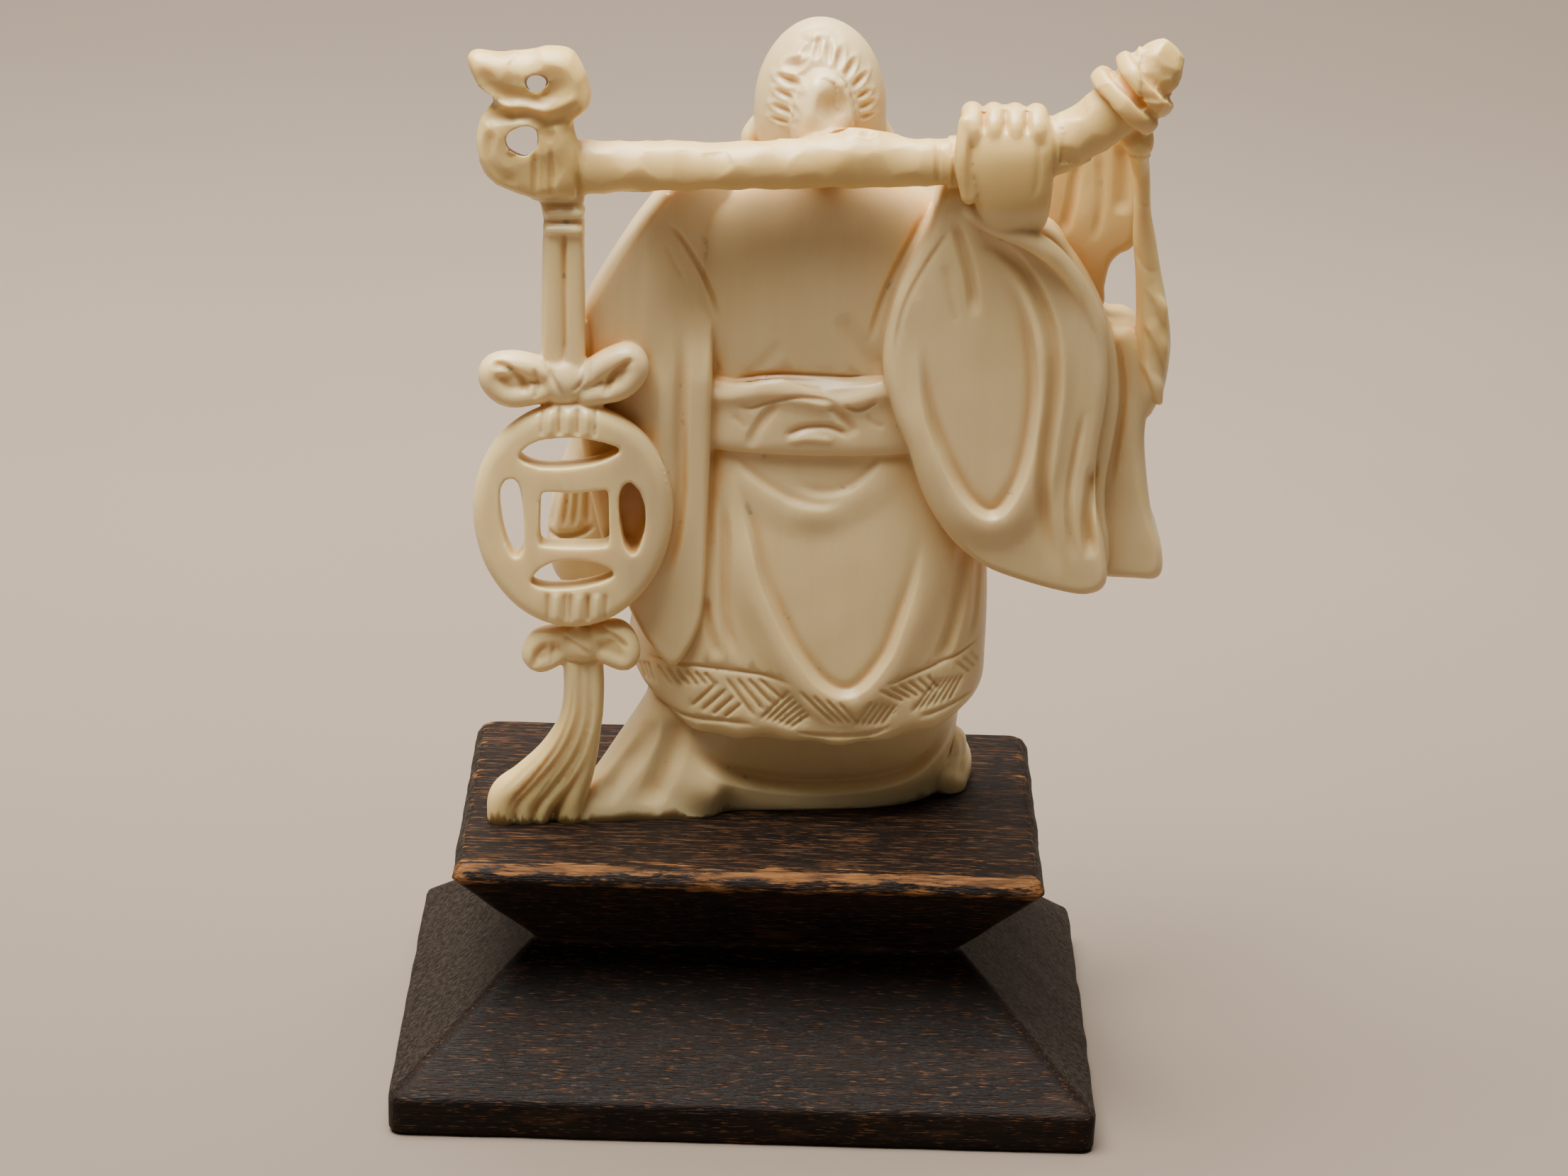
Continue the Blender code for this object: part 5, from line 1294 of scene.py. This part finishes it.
class Nodes:
    """A short way to write a material's nodes. Each method returns the socket that the next one takes."""

    def __init__(self, name):
        self.material = bpy.data.materials.new(name)
        self.material.use_nodes = True
        self.tree = self.material.node_tree
        self.shader = self.tree.nodes["Principled BSDF"]

    def set(self, target, value):
        if isinstance(value, bpy.types.NodeSocket):
            self.tree.links.new(value, target)
        else:
            target.default_value = value

    def node(self, kind, **settings):
        made = self.tree.nodes.new(kind)
        for name, value in settings.items():
            setattr(made, name, value)
        return made

    def fill(self, node, values):
        """Gives a node's inputs their values, by name."""
        for name, value in values.items():
            self.set(node.inputs[name], value)

    def place(self, scale, location=(0.0, 0.0, 0.0)):
        spot = self.node("ShaderNodeTexCoord").outputs["Object"]
        mapping = self.node("ShaderNodeMapping")
        self.fill(mapping, {"Vector": spot, "Location": location, "Scale": scale})
        return mapping.outputs["Vector"]

    def noise(self, scale, detail=4.0, roughness=0.55):
        made = self.node("ShaderNodeTexNoise")
        where = self.place(scale)
        self.fill(made, {"Vector": where, "Scale": 1.0, "Detail": detail, "Roughness": roughness})
        return made.outputs["Fac"]

    def attribute(self, name):
        return self.node("ShaderNodeAttribute", attribute_name=name).outputs["Fac"]

    def math(self, operation, a, b=0.0, clamp=False):
        made = self.node("ShaderNodeMath", operation=operation, use_clamp=clamp)
        self.set(made.inputs[0], a)
        self.set(made.inputs[1], b)
        return made.outputs[0]

    def plus(self, a, b, clamp=False):
        return self.math("ADD", a, b, clamp)

    def times(self, a, b, clamp=False):
        return self.math("MULTIPLY", a, b, clamp)

    def span(self, value, low, high, to_low=0.0, to_high=1.0):
        made = self.node("ShaderNodeMapRange", interpolation_type="SMOOTHSTEP")
        for socket, number in zip(made.inputs, (value, low, high, to_low, to_high)):
            self.set(socket, number)
        return made.outputs["Result"]

    def mix(self, factor, a, b):
        """The colour a where factor is 0, b where it is 1."""
        made = self.node("ShaderNodeMix", data_type="RGBA")
        self.set(made.inputs["Factor"], factor)
        colours = [socket for socket in made.inputs if socket.type == "RGBA"]
        for socket, value in zip(colours, (a, b)):
            self.set(socket, (*value, 1.0) if isinstance(value, tuple) else value)
        return next(socket for socket in made.outputs if socket.type == "RGBA")

    def bump(self, height, strength, distance, normal=None):
        made = self.node("ShaderNodeBump")
        self.fill(made, {"Height": height, "Strength": strength, "Distance": distance})
        if normal is not None:
            self.set(made.inputs["Normal"], normal)
        return made.outputs["Normal"]


# Linear colours of the ivory: its clouded body, then what lies over it, then what has settled in its cuts.
# The two patina colours also carry painted shade in hollows and gaps.
CREAM, PALE_CREAM = (0.65, 0.50, 0.25), (0.71, 0.56, 0.305)
VEIN = (0.57, 0.41, 0.18)
POLISHED = (0.84, 0.68, 0.36)
YELLOWED = (0.67, 0.455, 0.135)
# LIT_THROUGH is a painted glow: light shining through thin ivory, painted into the colour.
LIT_THROUGH = (0.90, 0.72, 0.33)
ORANGE_PATINA_AND_SHADE = (0.64, 0.345, 0.105)
BROWN_PATINA_AND_SHADE = (0.42, 0.17, 0.04)
GRIME = (0.16, 0.12, 0.09)
SPECK = (0.10, 0.075, 0.06)


def specks_over(n, body):
    """A few small dark specks, each at the middle of its own cell of a random pattern."""
    cells = n.node("ShaderNodeTexVoronoi")
    n.fill(cells, {"Vector": n.place((1, 1, 1)), "Scale": 230.0})
    chance = n.node("ShaderNodeSeparateColor")
    n.set(chance.inputs["Color"], cells.outputs["Color"])
    speck = n.times(n.span(cells.outputs["Distance"], 0.04, 0.015), n.span(chance.outputs["Red"], 0.88, 0.94))
    return n.mix(n.times(speck, 0.7), body, SPECK)


def ivory():
    n = Nodes("ivory")
    cut, closed_in = n.attribute("cut"), n.attribute("closed_in")
    cloudy = n.noise((55, 55, 40), detail=3.0)
    streaks = n.noise((900, 900, 45), detail=3.0, roughness=0.6)
    body = n.mix(n.span(cloudy, 0.35, 0.7), CREAM, PALE_CREAM)
    body = n.mix(n.span(streaks, 0.3, 0.75, 0.0, 0.2), body, VEIN)
    body = n.mix(n.span(n.attribute("high"), 0.2, 1.0, 0.0, 0.3), body, POLISHED)
    body = n.mix(n.span(n.attribute("yellowed"), 0.0, 1.0, 0.0, 0.75), body, YELLOWED)
    # Painted light: thin parts are brightened as if lit through.
    body = n.mix(n.span(n.attribute("thin"), 0.35, 0.85, 0.0, 0.65), body, LIT_THROUGH)

    # Patina mixed with painted shade: orange where the skin is closed in, in folds and in cuts, and deep
    # brown in the deepest gaps.
    patches = n.noise((160, 160, 130), detail=4.0)
    shade = n.plus(n.span(closed_in, 0.24, 0.8, 0.0, 0.85), n.times(n.attribute("fold"), 0.25))
    shade = n.plus(shade, n.times(cut, 0.18))
    shade = n.times(shade, n.span(patches, 0.3, 0.7, 0.7, 1.1), clamp=True)
    body = n.mix(shade, body, ORANGE_PATINA_AND_SHADE)
    body = n.mix(n.span(closed_in, 0.7, 1.0, 0.0, 0.6), body, BROWN_PATINA_AND_SHADE)
    grime = n.times(n.span(n.noise((700, 700, 700), detail=2.0), 0.66, 0.74), cut)
    body = n.mix(n.times(grime, 0.5), body, GRIME)
    body = specks_over(n, body)

    polish = n.span(n.noise((120, 120, 120), detail=3.0), 0.3, 0.7, 0.32, 0.42)
    scratches = n.bump(n.noise((2600, 2600, 260), detail=2.0), 0.10, 0.00004)
    n.fill(n.shader, {
        "Base Color": body,
        "Roughness": n.plus(polish, n.times(cut, 0.12)),
        "IOR": 1.54,
        "Subsurface Weight": 0.55,
        "Subsurface Radius": (1.0, 0.6, 0.3),
        "Subsurface Scale": 0.0013,
        "Coat Weight": 0.06,
        "Coat Roughness": 0.14,
        "Normal": n.bump(n.noise((420, 420, 420), detail=3.0), 0.18, 0.00010, scratches),
    })
    return n.material


# Linear colours of the wood: its black stain, the fibres and pores that show through it, its end grain, and
# the bare wood at its worn edges.
BLACK_STAIN, THIN_STAIN = (0.005, 0.0035, 0.003), (0.010, 0.0062, 0.0048)
BROWN_FIBRE = (0.028, 0.013, 0.007)
OPEN_PORE = (0.17, 0.073, 0.026)
DARK_END, PALE_END = (0.006, 0.0047, 0.004), (0.032, 0.024, 0.018)
DARK_BARE, PALE_BARE = (0.065, 0.028, 0.010), (0.20, 0.090, 0.031)


def wood():
    n = Nodes("ebonised_wood")
    facing = n.node("ShaderNodeSeparateXYZ")
    n.set(facing.inputs[0], n.node("ShaderNodeNewGeometry").outputs["True Normal"])
    end_grain = n.span(n.math("ABSOLUTE", facing.outputs["X"]), 0.45, 0.6)
    level = n.span(facing.outputs["Z"], 0.85, 0.97)
    broad = n.noise((22, 260, 260), detail=5.0, roughness=0.6)
    fibres = n.noise((300, 3200, 3200), detail=4.0, roughness=0.65)
    pores = n.noise((800, 8000, 8000), detail=2.0, roughness=0.5)
    patches = n.noise((190, 700, 700), detail=5.0, roughness=0.62)
    wear = n.attribute("wear")

    stain = n.mix(n.span(broad, 0.35, 0.7), BLACK_STAIN, THIN_STAIN)
    stain = n.mix(n.span(fibres, 0.45, 0.75, 0.0, 0.5), stain, BROWN_FIBRE)
    showing = n.plus(n.span(pores, 0.59, 0.73, 0.0, 0.5), n.times(n.span(patches, 0.55, 0.75), 0.15))
    showing = n.plus(showing, n.times(level, n.span(fibres, 0.53, 0.68, 0.0, 0.36)), clamp=True)
    stain = n.mix(showing, stain, OPEN_PORE)
    ends = n.noise((3000, 3000, 600), detail=3.0)
    stain = n.mix(end_grain, stain, n.mix(n.span(ends, 0.35, 0.7), DARK_END, PALE_END))

    ragged = n.plus(wear, n.times(n.math("SUBTRACT", patches, 0.5), 2.4))
    ragged = n.plus(ragged, n.times(n.math("SUBTRACT", fibres, 0.5), 1.1))
    bare = n.times(n.span(ragged, 0.5, 0.8), n.span(wear, 0.04, 0.15), clamp=True)
    raw = n.mix(n.span(fibres, 0.35, 0.7), DARK_BARE, PALE_BARE)
    grain = n.bump(n.plus(n.times(fibres, 0.7), n.times(pores, -0.6)), 0.8, 0.00016)
    n.fill(n.shader, {
        "Base Color": n.mix(bare, stain, raw),
        "Roughness": n.plus(n.span(fibres, 0.3, 0.7, 0.46, 0.62), n.times(bare, 0.12)),
        "IOR": 1.45,
        "Specular IOR Level": 0.12,
        "Normal": n.bump(bare, 0.5, -0.00006, grain),
    })
    return n.material


# The paper is a little uneven, with painted shade that darkens it far from a spot just behind the object, as
# light falling off would.
PAPER, PALE_PAPER = (0.234, 0.186, 0.145), (0.247, 0.197, 0.154)
SHADED_FAR_PAPER = (0.150, 0.119, 0.093)


def pale_backdrop():
    n = Nodes("pale_paper")
    paper = n.mix(n.span(n.noise((9, 9, 9), detail=3.0), 0.3, 0.7), PAPER, PALE_PAPER)
    # Painted shade: the paper darkens with distance from its brightest spot.
    reach = n.node("ShaderNodeVectorMath", operation="LENGTH")
    n.set(reach.inputs[0], n.place((3.6, 4.5, 4.5), location=(0.0, -0.855, 0.0)))
    paper = n.mix(n.span(reach.outputs["Value"], 0.15, 1.3), paper, SHADED_FAR_PAPER)
    n.fill(n.shader, {"Base Color": paper, "Roughness": 0.9})
    return n.material


# The stage, the light and the camera


BACKDROP_HALF_WIDTH = 1.5
FLOOR_NEAR, FLOOR_FAR = -1.6, 0.30
WALL_TOP = 1.8
BEND_RADIUS = 0.35
BEND_STEPS = 12


def backdrop(material):
    """A floor that turns up into a wall far behind the object, in one soft curve. In metres."""
    profile = [(FLOOR_NEAR, 0.0), (FLOOR_FAR, 0.0)]
    for k in range(1, BEND_STEPS + 1):
        angle = math.radians(90 * k / BEND_STEPS)
        profile.append((FLOOR_FAR + BEND_RADIUS * math.sin(angle), BEND_RADIUS * (1 - math.cos(angle))))
    profile.append((FLOOR_FAR + BEND_RADIUS, WALL_TOP))
    points = [(x, y, z) for y, z in profile for x in (-BACKDROP_HALF_WIDTH, BACKDROP_HALF_WIDTH)]
    faces = [(2 * i, 2 * i + 1, 2 * i + 3, 2 * i + 2) for i in range(len(profile) - 1)]
    mesh = bpy.data.meshes.new("backdrop")
    mesh.from_pydata(points, [], faces)
    mesh.update()
    mesh.materials.append(material)
    mesh.shade_smooth()
    sweep = linked("backdrop", mesh)


def softbox(name, place, target, size, power, colour):
    light = bpy.data.lights.new(name, "AREA")
    light.shape = "RECTANGLE"
    light.size, light.size_y = size
    light.energy = power
    light.color = colour
    lamp = linked(name, light)
    lamp.location = place
    lamp.rotation_euler = (Vector(target) - Vector(place)).to_track_quat("-Z", "Y").to_euler()


def light_up():
    """A weak even surround, a large soft light above and a second one further back. In metres and watts."""
    world = bpy.data.worlds.new("studio")
    world.use_nodes = True
    surround = world.node_tree.nodes["Background"].inputs
    surround["Color"].default_value = (1.0, 0.95, 0.90, 1.0)
    surround["Strength"].default_value = 0.14
    bpy.context.scene.world = world
    softbox("key", (-0.14, -0.06, 0.70), (0, 0.02, 0.03), (0.5, 0.5), 18.5, (1.0, 0.95, 0.885))
    softbox("above", (0.05, 0.28, 0.75), (0, 0.12, 0.0), (0.7, 0.6), 7.0, (1.0, 0.96, 0.92))


# The viewpoint: angles in radians, the eye in millimetres, the focal length in picture columns, and the width
# of the film in millimetres.
YAW, PITCH, ROLL = 0.007, 0.354, 0.031
EYE = (-0.205, -363.931, 176.847)
FOCAL_PIXELS, PICTURE_WIDTH = 6357.73, 2212
FILM_WIDTH = 36.0


def camera():
    """Looks from behind the figure, a little above it, with the picture turned slightly."""
    flat = math.cos(PITCH)
    forward = Vector((math.sin(YAW) * flat, math.cos(YAW) * flat, -math.sin(PITCH)))
    level = Vector((math.cos(YAW), -math.sin(YAW), 0.0))
    upright = level.cross(forward)
    right = level * math.cos(ROLL) + upright * math.sin(ROLL)
    up = -level * math.sin(ROLL) + upright * math.cos(ROLL)
    data = bpy.data.cameras.new("camera")
    data.sensor_width = FILM_WIDTH
    data.lens = FILM_WIDTH * FOCAL_PIXELS / PICTURE_WIDTH
    data.clip_start = 0.01
    data.clip_end = 10.0
    eye = linked("camera", data)
    turned = Matrix((right, up, -forward)).transposed().to_4x4()
    eye.matrix_world = Matrix.Translation(Vector(EYE) * MM) @ turned
    bpy.context.scene.camera = eye


camera()
light_up()
backdrop(pale_backdrop())
for piece, node, slot in ((figure(ivory()), "figure", "ivory"), (plinth(wood()), "plinth", "ebonised_wood")):
    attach(piece, "root")
    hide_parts(node)

bpy.context.view_layer.update()
